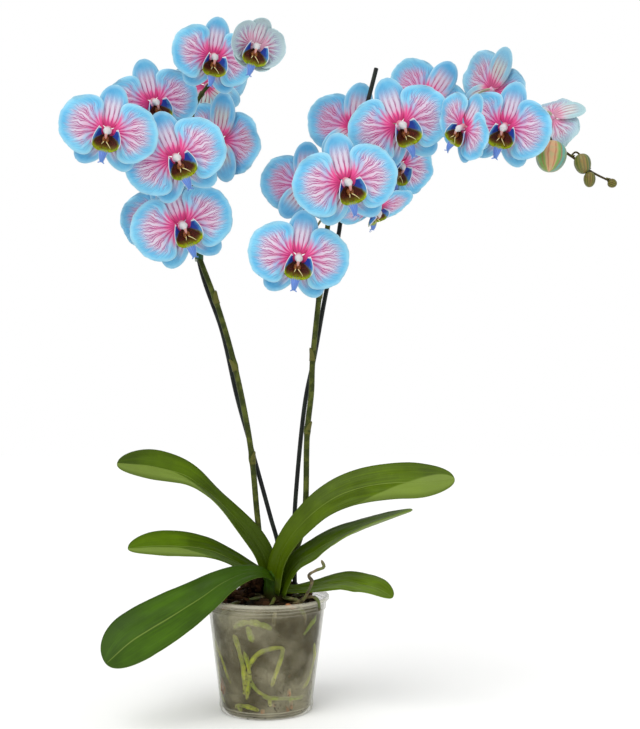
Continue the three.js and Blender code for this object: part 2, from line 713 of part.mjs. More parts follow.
const orchid = new THREE.Group();
const add = (name, solid, finish) => orchid.add(meshOf(name, solid, finish));

add("pot", potSolid(), material(0xa9a493, 0.35, { transparent: true, opacity: 0.55 }));

const stakesGrown = Object.values(STAKES).map((points) => stakeSolid(points, GAP));
add("substrate", substrateSolid(rootsSolid(GAP), stakesGrown), material(0x2f1a10, 0.95));
add("roots", rootsSolid(), material(0x8f9a4a, 0.6));
add("crown", crownSolid(), material(0x3c5a1c, 0.55));

for (const leaf of LEAVES) {
  add(leaf.name, leafSolid(leaf).subtract(crownSolid(GAP)), material(0x4d7d1f, 0.4));
}

const blooms = { left: BLOOMS_LEFT, right: BLOOMS_RIGHT };
for (const [side, spike] of Object.entries(SPIKES)) {
  const upper = curveThrough(spike.upper);
  const stalks = blooms[side].map((place) => pedicel(place, upper));
  const parts = [stemSolid(spike).subtract(crownSolid(GAP)), ...stalks];
  if (side === "right") parts.push(rod(curveThrough(TWIG), STEM.twig, 4, 6), ...BUDS.map(budSolid));
  add("spike_" + side, join(parts), material(0x4a5220, 0.5));
  add("stake_" + side, stakeSolid(STAKES[side]), material(0x161a12, 0.4));
}

const CLIPS = {
  left: { stem: [-67.5, 2, 436], stake: [-69, 14, 436] },
  right: { stem: [54, 1, 430], stake: [63, 11, 430] },
};
for (const [side, { stem, stake }] of Object.entries(CLIPS)) {
  const band = clipSolid(stem, stake, stemSolid(SPIKES[side], GAP), stakeSolid(STAKES[side], GAP));
  add("clip_" + side, largest(band), material(0x1d3a1a, 0.4));
}

for (const place of [...BLOOMS_LEFT, ...BLOOMS_RIGHT]) orchid.add(bloom(place));

export default orchid;
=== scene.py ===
import bpy
import numpy as np
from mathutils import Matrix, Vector


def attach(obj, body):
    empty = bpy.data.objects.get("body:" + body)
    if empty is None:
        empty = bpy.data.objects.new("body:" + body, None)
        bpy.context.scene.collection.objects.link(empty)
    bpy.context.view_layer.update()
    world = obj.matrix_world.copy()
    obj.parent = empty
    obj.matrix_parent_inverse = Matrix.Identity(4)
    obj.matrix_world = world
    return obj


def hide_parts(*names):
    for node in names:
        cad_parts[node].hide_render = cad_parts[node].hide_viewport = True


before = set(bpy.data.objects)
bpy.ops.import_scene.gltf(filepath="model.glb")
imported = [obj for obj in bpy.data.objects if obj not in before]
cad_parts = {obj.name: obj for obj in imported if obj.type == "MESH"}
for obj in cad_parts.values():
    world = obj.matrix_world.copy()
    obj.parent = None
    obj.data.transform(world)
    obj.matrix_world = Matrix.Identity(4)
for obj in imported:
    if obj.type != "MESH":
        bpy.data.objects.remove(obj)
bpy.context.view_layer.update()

mm = 0.001
scene = bpy.context.scene

# Metres, and the focal length in pixels of the picture's long side
cameraSettings = {
    "place": (0.0514, -1.0, 0.28),
    "target": (0.0514, 0.0, 0.33),
    "focalPixels": 1025,
    "longSidePixels": 729,
    "sensor": 36,
    "clip": (0.01, 50),
}


# At the height of the stems, looking a little upwards
def makeCamera(s):
    data = bpy.data.cameras.new("viewCamera")
    data.sensor_width = s["sensor"]
    data.lens = s["focalPixels"] / s["longSidePixels"] * s["sensor"]
    data.clip_start, data.clip_end = s["clip"]
    camera = bpy.data.objects.new("viewCamera", data)
    scene.collection.objects.link(camera)
    place, target = Vector(s["place"]), Vector(s["target"])
    camera.location = place
    camera.rotation_euler = (target - place).to_track_quat("-Z", "Y").to_euler()
    scene.camera = camera


makeCamera(cameraSettings)
print("camera in place")


# A vector, or each of many, scaled to length 1
def unit(v):
    return v / np.maximum(np.linalg.norm(v, axis=-1, keepdims=True), 1e-9)


# 0 below low, 1 above high, and 3t^2 - 2t^3 between them
def smooth(x, low, high):
    t = np.clip((x - low) / (high - low), 0, 1)
    return t * t * (3 - 2 * t)


# A soft wander between about -1 and 1: sines of two parameters at rising rates, with phases from the seed
def wander(a, b, seed):
    phase = np.random.default_rng(seed).uniform(0, 2 * np.pi, 6)
    return (np.sin(2.3 * a + 1.7 * b + phase[0]) + 0.7 * np.sin(4.1 * a - 3.3 * b + phase[1])
            + 0.5 * np.sin(7.9 * a + 6.1 * b + phase[2]) + 0.3 * np.sin(13 * a - 11 * b + phase[3])) / 2


# Values at equal steps of u, joined by cubics. The slope at each value is half the step between its
# neighbours
def runThrough(values, u):
    values, u = np.asarray(values, float), np.asarray(u, float)
    last = len(values) - 1
    step = np.minimum((u * last).astype(int), last - 1)
    t = u * last - step
    if values.ndim > 1:
        t = t[..., None]
    a, b, c, d = (values[np.clip(step + k, 0, last)] for k in (-1, 0, 1, 2))
    slope, nextSlope = (c - a) / 2, (d - b) / 2
    return b + t * (slope + t * (3 * (c - b) - 2 * slope - nextSlope
                                 + t * (2 * (b - c) + slope + nextSlope)))


# A chain of points laid out again at equal lengths
def evenly(chain, count):
    length = np.concatenate([[0], np.cumsum(np.linalg.norm(np.diff(chain, axis=0), axis=1))])
    at = np.linspace(0, length[-1], count)
    return np.stack([np.interp(at, length, chain[:, k]) for k in range(3)], axis=1)


# A chain of points read at u, from 0 at its start to 1 at its end
def readChain(chain, u):
    at = np.linspace(0, 1, len(chain))
    return np.stack([np.interp(u, at, chain[:, k]) for k in range(3)], axis=-1)


# A curve through points: cubics timed by the square root of each chord, then laid out at equal lengths
def curveThrough(points, count):
    p = np.asarray(points, float)
    p = np.vstack([2 * p[0] - p[1], p, 2 * p[-1] - p[-2]])
    time = np.sqrt(np.linalg.norm(np.diff(p, axis=0), axis=1))[:, None, None]
    a, b, c, d = p[:-3, None], p[1:-2, None], p[2:-1, None], p[3:, None]
    before, here, after = time[:-2], time[1:-1], time[2:]
    leave = here * ((b - a) / before - (c - a) / (before + here) + (c - b) / here)
    meet = here * ((c - b) / here - (d - b) / (here + after) + (d - c) / after)
    t = np.linspace(0, 1, 30, endpoint=False)[None, :, None]
    chain = b + t * leave + t**2 * (3 * (c - b) - 2 * leave - meet) + t**3 * (2 * (b - c) + leave + meet)
    return evenly(np.vstack([chain.reshape(-1, 3), p[-2]]), count)


# A cubic Bezier curve: (1-t)^3 a + 3(1-t)^2 t b + 3(1-t) t^2 c + t^3 d
def bezier(a, b, c, d, count):
    t = np.linspace(0, 1, count)[:, None]
    return (1 - t)**3 * a + 3 * (1 - t)**2 * t * b + 3 * (1 - t) * t**2 * c + t**3 * d


# Quads between neighbouring rows and columns of a grid of vertices numbered row by row
def gridFaces(rows, columns, closed=False):
    i, j = np.meshgrid(np.arange(rows - 1), np.arange(columns if closed else columns - 1), indexing="ij")
    k = (j + 1) % columns
    return np.stack([i * columns + j, (i + 1) * columns + j,
                     (i + 1) * columns + k, i * columns + k], axis=-1).reshape(-1, 4)


# Two parameters on a grid: the first runs from 0 to 1 over the rows, the second from start to end
def grid(counts, start, end):
    return np.meshgrid(np.linspace(0, 1, counts[0]), np.linspace(start, end, counts[1]), indexing="ij")


# A thin sheet: the middle surface moved half the thickness both ways along its normal, and joined round
# its edge. For its pattern it keeps its place along and across, and the distance to its edge.
def sheetPart(middle, thickness, along, across, edge, slot=0, **marks):
    rows, columns = middle.shape[:2]
    normal = unit(np.cross(np.gradient(middle, axis=0), np.gradient(middle, axis=1)))
    offset = normal * (np.broadcast_to(thickness, (rows, columns)) / 2)[..., None]
    points = np.concatenate([(middle + offset).reshape(-1, 3), (middle - offset).reshape(-1, 3)])
    front = gridFaces(rows, columns)
    number = np.arange(rows * columns).reshape(rows, columns)
    rim = np.concatenate([number[:-1, 0], number[-1, :-1], number[:0:-1, -1], number[0, :0:-1]])
    after = np.roll(rim, -1)
    half = rows * columns
    edgeFaces = np.stack([rim + half, after + half, after, rim], axis=-1)
    values = {"along": along, "across": across, "edge": edge, **marks}
    values = {k: np.tile(np.broadcast_to(v, (rows, columns)).ravel(), 2) for k, v in values.items()}
    values["front"] = np.repeat([1.0, 0.0], half)
    faces = [front, front[:, ::-1] + half, edgeFaces]
    return {"points": points, "faces": faces, "slot": slot, "marks": values}


# Rings of points joined row by row, and closed by a fan to a pole at each end. A mark is one number, or
# one for each row, or one for each point of a ring.
def ringsPart(rings, poles, slot, marks):
    rows, sides = rings.shape[:2]
    j = np.arange(sides)
    k = (j + 1) % sides
    last = (rows - 1) * sides
    firstFan = np.stack([np.full(sides, rows * sides), k, j], axis=-1)
    lastFan = np.stack([np.full(sides, rows * sides + 1), last + j, last + k], axis=-1)
    faces = [gridFaces(rows, sides, True)[:, ::-1], np.vstack([firstFan, lastFan])]
    values = {}
    for name, value in marks.items():
        value = np.broadcast_to(value, (rows, sides))
        values[name] = np.append(value.ravel(), [value[0, 0], value[-1, 0]])
    points = np.vstack([rings.reshape(-1, 3), poles])
    return {"points": points, "faces": faces, "slot": slot, "marks": values}


# A round section carried along a path without twist: centre + r(cos a, sin a), with domed or flat ends
def tubePart(path, radius, sides, slot=0, domed=True, shape=None, **marks):
    path = np.asarray(path, float)
    count = len(path)
    radius = np.broadcast_to(np.asarray(radius, float), (count,))
    tangent = unit(np.gradient(path, axis=0))
    side = np.empty_like(path)
    helper = np.array([0, 1.0, 0]) if abs(tangent[0, 1]) < 0.9 else np.array([1.0, 0, 0])
    side[0] = unit(np.cross(tangent[0], helper))
    for k in range(1, count):
        carried = side[k - 1] - tangent[k] * (side[k - 1] @ tangent[k])
        side[k] = carried / np.linalg.norm(carried)
    other = np.cross(tangent, side)
    centre, ring, along = path, radius, np.linspace(0, 1, count)
    if domed:
        lift = np.sin(np.linspace(0, np.pi / 2, 4))[1:-1]
        shrink = np.cos(np.linspace(0, np.pi / 2, 4))[1:-1]
        head = path[0] - tangent[0] * (lift[::-1] * radius[0])[:, None]
        tail = path[-1] + tangent[-1] * (lift * radius[-1])[:, None]
        centre = np.vstack([head, path, tail])
        ring = np.concatenate([shrink[::-1] * radius[0], radius, shrink * radius[-1]])
        side = np.vstack([np.repeat(side[:1], 2, 0), side, np.repeat(side[-1:], 2, 0)])
        other = np.vstack([np.repeat(other[:1], 2, 0), other, np.repeat(other[-1:], 2, 0)])
        along = np.concatenate([[0, 0], along, [1, 1]])
    turn = np.linspace(0, 2 * np.pi, sides, endpoint=False)
    section = np.stack([np.cos(turn), np.sin(turn)], axis=-1)
    if shape is not None:
        section = section * shape(turn)[:, None]
    rings = centre[:, None] + ring[:, None, None] * (
        side[:, None] * section[None, :, :1] + other[:, None] * section[None, :, 1:])
    reach = radius[[0, -1], None] * (1.0 if domed else 0.0)
    poles = path[[0, -1]] + tangent[[0, -1]] * reach * [[-1], [1]]
    across = (turn / np.pi - 1)[None]
    marks = {"along": along[:, None], "across": across, "edge": 9.0, "front": 1.0, **marks}
    return ringsPart(rings, poles, slot, marks)


# An outline (distance from the axis, height) turned once round Z. It starts and ends on the axis, where
# the surface closes to a point.
def turnedPart(profile, sides, **marks):
    profile = np.asarray(profile, float)
    turn = np.linspace(0, 2 * np.pi, sides, endpoint=False)
    r, z = profile[1:-1, 0, None], profile[1:-1, 1, None]
    rings = np.stack([r * np.cos(turn), r * np.sin(turn), z + 0 * turn], axis=-1)
    poles = [[0, 0, profile[0, 1]], [0, 0, profile[-1, 1]]]
    return ringsPart(rings, poles, 0, marks)


# How far each point of a flat grid lies from the grid's outline, less the foot that is its first row
def edgeDistance(flat):
    rim = np.concatenate([flat[1:, 0], flat[-1], flat[:0:-1, -1]])
    apart = np.linalg.norm(flat[:, :, None] - rim[None, None], axis=-1)
    return apart.min(axis=-1)


# One mesh from its parts. Their marks become attributes on its vertices, 0 where a part has none.
def makePiece(name, parts, finishes, replaced):
    start, points, faces, slots = 0, [], [], []
    for part in parts:
        points.append(part["points"])
        for block in part["faces"]:
            faces += (block + start).tolist()
            slots += [part["slot"]] * len(block)
        start += len(part["points"])
    mesh = bpy.data.meshes.new(name)
    mesh.from_pydata((np.vstack(points) * mm).tolist(), [], faces)
    names = sorted({key for part in parts for key in part["marks"]})
    for key in names:
        values = np.concatenate([
            np.broadcast_to(part["marks"].get(key, 0.0), len(part["points"])) for part in parts])
        mesh.attributes.new(key, "FLOAT", "POINT").data.foreach_set("value", values.astype(np.float32))
    for finish in finishes:
        mesh.materials.append(finish)
    mesh.polygons.foreach_set("material_index", slots)
    mesh.polygons.foreach_set("use_smooth", [True] * len(mesh.polygons))
    mesh.update()
    piece = bpy.data.objects.new(name, mesh)
    scene.collection.objects.link(piece)
    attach(piece, "root")
    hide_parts(*replaced)
    return piece


# sRGB 0-255, as read off a screen, to the linear colour that nodes take
def screen(r, g, b):
    c = np.array([r, g, b]) / 255
    return (*np.where(c <= 0.04045, c / 12.92, ((c + 0.055) / 1.055)**2.4), 1.0)


# A material's node tree, written as short calls that each return the socket to read
class Finish:

    def __init__(self, name, roughness=0.5, **sockets):
        self.material = bpy.data.materials.new(name)
        self.material.use_nodes = True
        self.tree = self.material.node_tree
        self.shader = self.tree.nodes["Principled BSDF"]
        self.shader.inputs["Roughness"].default_value = roughness
        for key, value in sockets.items():
            self.shader.inputs[key.replace("_", " ")].default_value = value

    def put(self, value, socket):
        if isinstance(value, bpy.types.NodeSocket):
            self.tree.links.new(value, socket)
        else:
            socket.default_value = value

    def math(self, operation, a, b=0.0):
        node = self.tree.nodes.new("ShaderNodeMath")
        node.operation = operation
        for value, socket in zip((a, b), node.inputs):
            self.put(value, socket)
        return node.outputs[0]

    def plus(self, a, b):
        return self.math("ADD", a, b)

    def minus(self, a, b):
        return self.math("SUBTRACT", a, b)

    def times(self, a, b):
        return self.math("MULTIPLY", a, b)

    def swing(self, value, reach):  # a noise about its middle, times a reach
        return self.times(self.minus(value, 0.5), reach)

    def mark(self, name):
        node = self.tree.nodes.new("ShaderNodeAttribute")
        node.attribute_name = name
        return node.outputs["Fac"]

    def ramp(self, value, low, high, start=0.0, end=1.0):  # smooth step from low to high
        node = self.tree.nodes.new("ShaderNodeMapRange")
        node.interpolation_type = "SMOOTHSTEP"
        for v, socket in zip((value, low, high, start, end), node.inputs):
            self.put(v, socket)
        return node.outputs[0]

    def mix(self, share, first, second):
        node = self.tree.nodes.new("ShaderNodeMix")
        node.data_type = "RGBA"
        self.put(share, node.inputs[0])
        self.put(first, node.inputs[6])
        self.put(second, node.inputs[7])
        return node.outputs[2]

    def noise(self, scale, detail=2.0, roughness=0.5, at=None):
        node = self.tree.nodes.new("ShaderNodeTexNoise")
        self.put(at if at is not None else self.place(), node.inputs["Vector"])
        node.inputs["Scale"].default_value = scale
        node.inputs["Detail"].default_value = detail
        node.inputs["Roughness"].default_value = roughness
        return node.outputs[0]

    # One colour patched with another: noise holds scale, detail and roughness, band its smooth step
    def mottle(self, noise, band, first, second):
        return self.mix(self.ramp(self.noise(*noise), *band), first, second)

    # Noise that is drawn out by its two rates, across and along the piece
    def streaks(self, across, along, rates, detail, roughness, own=0.0):
        at = self.vector(self.times(across, rates[0]), self.times(along, rates[1]), own)
        return self.noise(1.0, detail, roughness, at=at)

    def place(self):
        return self.tree.nodes.new("ShaderNodeTexCoord").outputs["Object"]

    def vector(self, x, y, z):
        node = self.tree.nodes.new("ShaderNodeCombineXYZ")
        for value, socket in zip((x, y, z), node.inputs):
            self.put(value, socket)
        return node.outputs[0]

    def random(self, value):
        node = self.tree.nodes.new("ShaderNodeTexWhiteNoise")
        node.noise_dimensions = "1D"
        self.put(value, node.inputs["W"])
        return node.outputs["Value"]

    def bump(self, height, distance, strength=1.0):
        node = self.tree.nodes.new("ShaderNodeBump")
        node.inputs["Strength"].default_value = strength
        node.inputs["Distance"].default_value = distance
        self.put(height, node.inputs["Height"])
        self.put(node.outputs[0], self.shader.inputs["Normal"])

    def colour(self, value):
        self.put(value, self.shader.inputs["Base Color"])
        return self.material


# Veins of a tepal. The place across is cut into cells, with one main vein in the middle of each. A branch
# leaves its parent at a place along that is drawn for each half cell, and eases out as g (2 - g) to its
# share of the half cell. Veins keep one width in millimetres, so their width in cells goes with 1 / along.
# The answer is the distance to the nearest vein, counted in that vein's own widths.
def tepalVeins(f, across, along, own, s):
    sway = f.streaks(across, along, (3, 6), 3, 0.55, own)
    bent = f.plus(across, f.swing(sway, s["sway"]))
    place = f.times(f.plus(f.times(bent, 0.5), 0.5), s["cells"])
    off = f.math("ABSOLUTE", f.minus(f.math("FRACT", place), 0.5))
    luck = f.random(f.plus(f.math("FLOOR", f.times(place, 2)), f.times(own, 37)))
    width = f.math("MINIMUM", f.math("DIVIDE", s["thick"], along), 0.3)
    away = f.math("DIVIDE", off, width)
    tracks, shares = [0.0], [0.0]
    for start, share, parent, final in s["branches"]:
        leave = f.plus(start, f.times(luck, 0.16))
        gone = f.math("DIVIDE", f.minus(along, leave), f.minus(1.0, leave))
        gone = f.math("MAXIMUM", gone, 0.0)
        eased = f.times(gone, f.minus(2.0, gone))
        tracks.append(f.plus(tracks[parent], f.times(eased, share - shares[parent])))
        shares.append(share)
        near = f.math("ABSOLUTE", f.minus(off, tracks[-1]))
        ratio = f.math("DIVIDE", f.times(near, along), final)
        away = f.math("MINIMUM", away, f.plus(ratio, f.ramp(gone, 0.04, 0.0, 0.0, 9.0)))
    return away


tepalColours = {
    "rim": screen(204, 232, 238),
    "body": screen(216, 208, 224),
    "blush": screen(228, 128, 180),
    "heart": screen(234, 74, 144),
    "deepHeart": screen(190, 26, 98),
    "veinOut": screen(146, 66, 142),
    "veinInMargin": screen(76, 134, 196),
    "greenWhite": screen(184, 200, 188),
    "brownVein": screen(140, 50, 66),
    "paleBody": screen(206, 208, 212),
    "paleMargin": screen(152, 204, 198),
}


# Skin of a petal or sepal: pale body that blushes towards a hot heart, sky margin that follows the edge and
# feathers inwards along the veins, and a thin pale rim. The marks pale and green bleach a whole bloom or
# turn its back greenish, and own shifts its pattern.
def tepalFinish(name, s):
    c = tepalColours
    f = Finish(name, roughness=0.55, Sheen_Weight=0.08, Specular_IOR_Level=0.2)
    along, across, edge, front = f.mark("along"), f.mark("across"), f.mark("edge"), f.mark("front")
    pale, green, own = f.mark("pale"), f.mark("green"), f.mark("own")
    away = tepalVeins(f, across, along, own, s)
    veins, bleed = f.ramp(away, 1.0, 0.3), f.ramp(away, 5.0, 0.5)
    streak = f.streaks(across, along, (11, 1.6), 3, 0.6, own)
    fine = f.streaks(across, along, (42, 3), 2, 0.6, own)
    inward = f.plus(edge, f.plus(f.swing(streak, s["feather"]), f.swing(fine, s["feather"] * 0.45)))
    near, far = s["margin"]
    sky = f.times(f.ramp(inward, far, near), f.ramp(along, *s["skyFrom"]))
    tip = f.plus(along, f.swing(fine, 0.12))
    sky = f.math("MAXIMUM", sky, f.ramp(tip, *s["tip"]))
    sky = f.times(sky, f.minus(1.0, f.times(pale, 0.55)))
    tone = f.mottle((45, 3, 0.6), (0.36, 0.66), s["sky"], s["deepSky"])
    tone = f.mix(f.ramp(fine, 0.45, 0.7, 0.0, 0.3), tone, s["deepSky"])
    tone = f.mix(f.ramp(edge, 5.0, 0.8, 0.0, 0.3), tone, c["rim"])
    tone = f.mix(pale, tone, c["paleMargin"])
    green = f.times(green, s["greenShare"])
    back = f.mix(green, s["backBody"], c["greenWhite"])
    body = f.mix(f.times(pale, 0.9), f.mix(front, back, c["body"]), c["paleBody"])
    reddening = f.plus(along, f.swing(streak, 0.5))
    reddening = f.plus(reddening, f.times(bleed, -0.11))
    strength = f.minus(1.0, f.times(pale, 0.75))
    blush = f.times(f.ramp(reddening, s["blush"][1], s["blush"][0]), strength)
    body = f.mix(f.times(blush, s["blushDepth"]), body, c["blush"])
    shade = f.mix(sky, body, tone)
    heart = f.times(f.ramp(reddening, s["heart"][1], s["heart"][0]), strength)
    shade = f.mix(heart, shade, f.mix(f.ramp(along, 0.26, 0.1, 0.0, 0.7), c["heart"], c["deepHeart"]))
    veinTone = f.mix(f.ramp(along, 0.3, 0.8), s["frontVein"], c["veinOut"])
    veinTone = f.mix(front, f.mix(green, s["backVein"], c["brownVein"]), veinTone)
    veinTone = f.mix(f.times(sky, 0.85), veinTone, c["veinInMargin"])
    fade = f.times(f.ramp(edge, 0.5, 7.0, 0.1, s["veinDepth"]), f.minus(1.0, f.times(sky, 0.5)))
    shade = f.mix(f.times(veins, fade), shade, veinTone)
    shade = f.mix(f.ramp(fine, 0.5, 0.8, 0.0, 0.14), shade, c["rim"])
    shade = f.mix(f.times(f.ramp(edge, 0.8, 0.2, 0.0, 0.55), f.ramp(along, 0.35, 0.6)), shade, c["rim"])
    f.bump(f.plus(f.times(veins, -0.8), fine), 0.0003, 0.4)
    return f.colour(shade)


petalFinish = tepalFinish("petalSkin", {
    "cells": 8, "thick": 0.034, "sway": 0.2, "veinDepth": 0.95, "feather": 13, "margin": (5.0, 17.0),
    "skyFrom": (0.2, 0.55), "tip": (0.96, 1.1),
    "sky": screen(128, 208, 238), "deepSky": screen(98, 190, 232),
    # where a branch starts, its share of the half cell, the branch it leaves, its width at the end
    "branches": ((0.1, 0.34, 0, 0.027), (0.3, 0.17, 0, 0.021), (0.36, 0.5, 1, 0.021),
                 (0.5, 0.25, 1, 0.017), (0.58, 0.08, 0, 0.016), (0.6, 0.42, 3, 0.016)),
    "blush": (0.16, 0.68), "blushDepth": 0.8, "heart": (0.12, 0.38), "greenShare": 0.3,
    "frontVein": screen(186, 36, 108), "backVein": screen(186, 70, 130), "backBody": screen(206, 190, 218),
})
dorsalFinish = tepalFinish("dorsalSepalSkin", {
    "cells": 6, "thick": 0.034, "sway": 0.12, "veinDepth": 0.8, "feather": 7, "margin": (3.5, 9.0),
    "skyFrom": (0.2, 0.55), "tip": (0.5, 0.86),
    "sky": screen(108, 192, 230), "deepSky": screen(78, 168, 216),
    "branches": ((0.2, 0.3, 0, 0.026), (0.45, 0.14, 0, 0.018), (0.55, 0.46, 1, 0.018)),
    "blush": (0.1, 0.5), "blushDepth": 0.6, "heart": (0.1, 0.26), "greenShare": 1.0,
    "frontVein": screen(150, 52, 110), "backVein": screen(166, 62, 112), "backBody": screen(208, 196, 214),
})
lateralFinish = tepalFinish("lateralSepalSkin", {
    "cells": 6, "thick": 0.04, "sway": 0.12, "veinDepth": 0.9, "feather": 7, "margin": (3.0, 8.0),
    "skyFrom": (0.2, 0.5), "tip": (0.42, 0.8),
    "sky": screen(112, 194, 230), "deepSky": screen(84, 172, 220),
    "branches": ((0.2, 0.3, 0, 0.03), (0.5, 0.14, 0, 0.02), (0.55, 0.46, 1, 0.018)),
    "blush": (0.1, 0.34), "blushDepth": 0.5, "heart": (0.05, 0.16), "greenShare": 1.0,
    "frontVein": screen(158, 38, 84), "backVein": screen(158, 56, 96), "backBody": screen(204, 198, 208),
})
print("tepal finishes made")


# A bloom faces +Z in its own frame, with its top towards +Y.
bloomSettings = {
    "thickness": 0.8,
    "claw": 3.4,
    "cup": 34,
    "reflex": 3,
    "close": 0.6,
    "petal": {"length": 53, "lift": 5, "halfAngle": 61, "level": 0.4, "wave": 1.4, "frill": 0.9,
              "dome": 1.6, "ribs": 9, "ribDepth": 0.1, "ragged": 0.016, "grid": (26, 43)},
    "dorsal": {"length": 49, "halfWidth": 16, "level": -1.8, "grid": (22, 13)},
    "lateral": {"length": 46, "halfWidth": 14.5, "level": -1.8, "grid": (22, 13)},
    "lateralSpread": 37,
    "keel": 1.2,
}

# centre, yaw to the right, pitch upwards, roll (top to the right), size, how far open, and where its stalk
# leaves the upper stem
blooms = {
    "left": [
        ("l1", (-80, -32, 461), 4, -12, -19, 0.94, 1, 0.08),
        ("l2", (-82, -62, 518), 3, -12, -22, 0.92, 1, 0.26),
        ("l3", (-140, -86, 537), 6, -12, 11, 0.85, 1, 0.22),
        ("l4", (-107, -40, 577), 18, -12, -16, 0.84, 1, 0.56),
        ("l5", (-48, -62, 613), 20, -14, 7, 0.8, 0.9, 0.8),
        ("l6", (-7, -90, 613), 14, -14, 14, 0.8, 0.3, 0.98),
        ("l7", (-51, 26, 559), 150, 10, -21, 0.97, 1, 0.42),
        ("l8", (-65, 42, 620), 184, 8, 24, 0.82, 1, 0.7),
        ("l9", (-103, 36, 480), 200, 6, 13, 0.93, 1, 0.14),
    ],
    "right": [
        ("r1", (31, -34, 430), 4, -10, 9, 0.92, 1, 0.05),
        ("r2", (75, -64, 495), 4, -12, -12, 0.93, 1, 0.12),
        ("r3", (127, -40, 555), 4, -14, -20, 0.94, 1, 0.42),
        ("r4", (37, 28, 513), 190, 8, 0, 0.88, 1, 0.14),
        ("r5", (86, 32, 573), 186, 8, -9, 0.92, 1, 0.26),
        ("r6", (165, 52, 609), 195, 4, -32, 0.92, 1, 0.5),
        ("r7", (128, 0, 528), 30, -22, 14, 0.85, 0.9, 0.3),
        ("r8", (105, -10, 483), 50, -62, -30, 0.8, 0.9, 0.08),
        ("r9", (184, -66, 546), -58, -8, 48, 0.74, 0.9, 0.6),
        ("r10", (226, 24, 610), 124, 6, -42, 0.97, 0.9, 0.74),
        ("r11", (227, -38, 554), -32, -12, 21, 0.87, 1, 0.8),
        ("r12", (283, 10, 578), 150, -30, -72, 0.86, 0.6, 0.94),
    ],
}
# Shares of a bleached front and of a greenish back
paleBlooms = {"l6": 0.9, "r12": 0.7, "l8": 0.15, "r10": 0.2}
greenBlooms = {"l7": 0.7, "l8": 1.0, "l9": 0.4, "r10": 0.8, "r12": 0.9, "l6": 1.0}


# Turn about one axis: 0 is X, 1 is Y, 2 is Z
def turned(axis, degrees):
    s, k = np.sin(np.radians(degrees)), np.cos(np.radians(degrees))
    a, b = [(1, 2), (2, 0), (0, 1)][axis]
    m = np.eye(3)
    m[a, a], m[a, b], m[b, a], m[b, b] = k, -s, s, k
    return m


# Stands a bloom up and faces it to the front, then yaws, pitches and rolls it
def facing(yaw, pitch, roll):
    return turned(0, 90) @ turned(1, yaw) @ turned(0, -pitch) @ turned(2, -roll)


# Half-open blooms stand forward by the square of the distance, open ones lie back a little
def cupping(distance, openness):
    s = bloomSettings
    return ((1 - openness) * s["cup"] - openness * s["reflex"]) * (distance / s["petal"]["length"])**2


# Closed blooms draw their tepals in: a point keeps 1 - close (1 - openness) distance / length of its
# distance
def closing(distance, openness):
    s = bloomSettings
    return 1 - s["close"] * (1 - openness) * distance / s["petal"]["length"]


# Full thickness inside, and 0.55 of it at the edge, over the last 4 mm
def tepalThickness(edge):
    return bloomSettings["thickness"] * (0.55 + 0.45 * np.clip(edge / 4, 0, 1))


# A fan round the centre: the angle swells from the narrow claw and closes again at the tip, the distance
# grows as u^0.8 to a rounded tip, the outer part waves with cos(2.5 pi across), and low ribs follow the
# main veins
def petalPart(side, openness, seed, tints):
    s, claw = bloomSettings["petal"], bloomSettings["claw"]
    u, across = grid(s["grid"], -side, side)
    swell = 0.4 * (1 - u)**2 + 3.1 * u * (1 - u) + 0.74 * u * u
    angle = np.radians(s["lift"] + across * s["halfAngle"] * swell)
    ragged = 1 + s["ragged"] * wander(across * 3, side * 1.0, seed) * u**4
    tip = s["length"] * (1 - 0.2 * across**2) * ragged
    distance = claw + (tip - claw) * u**0.8
    level = s["level"] + s["wave"] * u * u * np.cos(2.5 * np.pi * across)
    level = level + s["frill"] * u**4 * wander(across * 4 + 1, u, seed + 3)
    level = level + s["dome"] * np.sin(np.pi * u) * (1 - across**2)
    level = level + s["ribDepth"] * np.cos(np.pi * s["ribs"] * (across + 1)) * np.sin(np.pi * u**0.7)
    seen = distance * closing(distance, openness)
    x, y = side * seen * np.cos(angle), seen * np.sin(angle)
    middle = np.stack([x, y, level + cupping(distance, openness)], axis=-1)
    edge = edgeDistance(middle[..., :2])
    marks = {**tints, "own": tints["own"] + 0.3 * side}
    return sheetPart(middle, tepalThickness(edge), distance / s["length"], across, edge, 0, **marks)


# An ellipse along a direction in degrees from the top: the half width is b sqrt(1 - ((t - 1/2) / 0.505)^2),
# with a keel along the middle and a tip that lies back
def sepalPart(kind, direction, level, openness, seed, tints, slot):
    s, claw = bloomSettings[kind], bloomSettings["claw"]
    u, across = grid(s["grid"], 1, -1)
    share = (1 - np.cos(np.pi * u)) / 2
    distance = claw + (s["length"] - claw) * share
    half = s["halfWidth"] * np.sqrt(1 - ((share - 0.5) / 0.505)**2)
    reach = half * (1 + 0.02 * wander(u * 3, across, seed)) * across
    keel = -bloomSettings["keel"] * (1 - across**2) * np.sin(np.pi * share)
    frill = 0.4 * share**2 * across * wander(u * 4, across, seed + 5)
    sin, cos = np.sin(np.radians(direction)), np.cos(np.radians(direction))
    drawn = closing(distance, openness)
    x, y = drawn * (distance * sin + reach * cos), drawn * (distance * cos - reach * sin)
    middle = np.stack([x, y, level + keel + frill + cupping(distance, openness) - 1.5 * share], axis=-1)
    edge = edgeDistance(middle[..., :2])
    return sheetPart(middle, tepalThickness(edge), distance / s["length"], across, edge, slot, **tints)


# Degrees that a lip is turned to the right of its bloom, and the blooms whose lips stand straight
lipTwist = 12
straightLips = ("l3", "l5", "l6", "r1")


# A part sized and turned about the origin, then set down at its place
def moved(part, turn, size, at):
    return {**part, "points": size * part["points"] @ turn.T + np.asarray(at, float)}


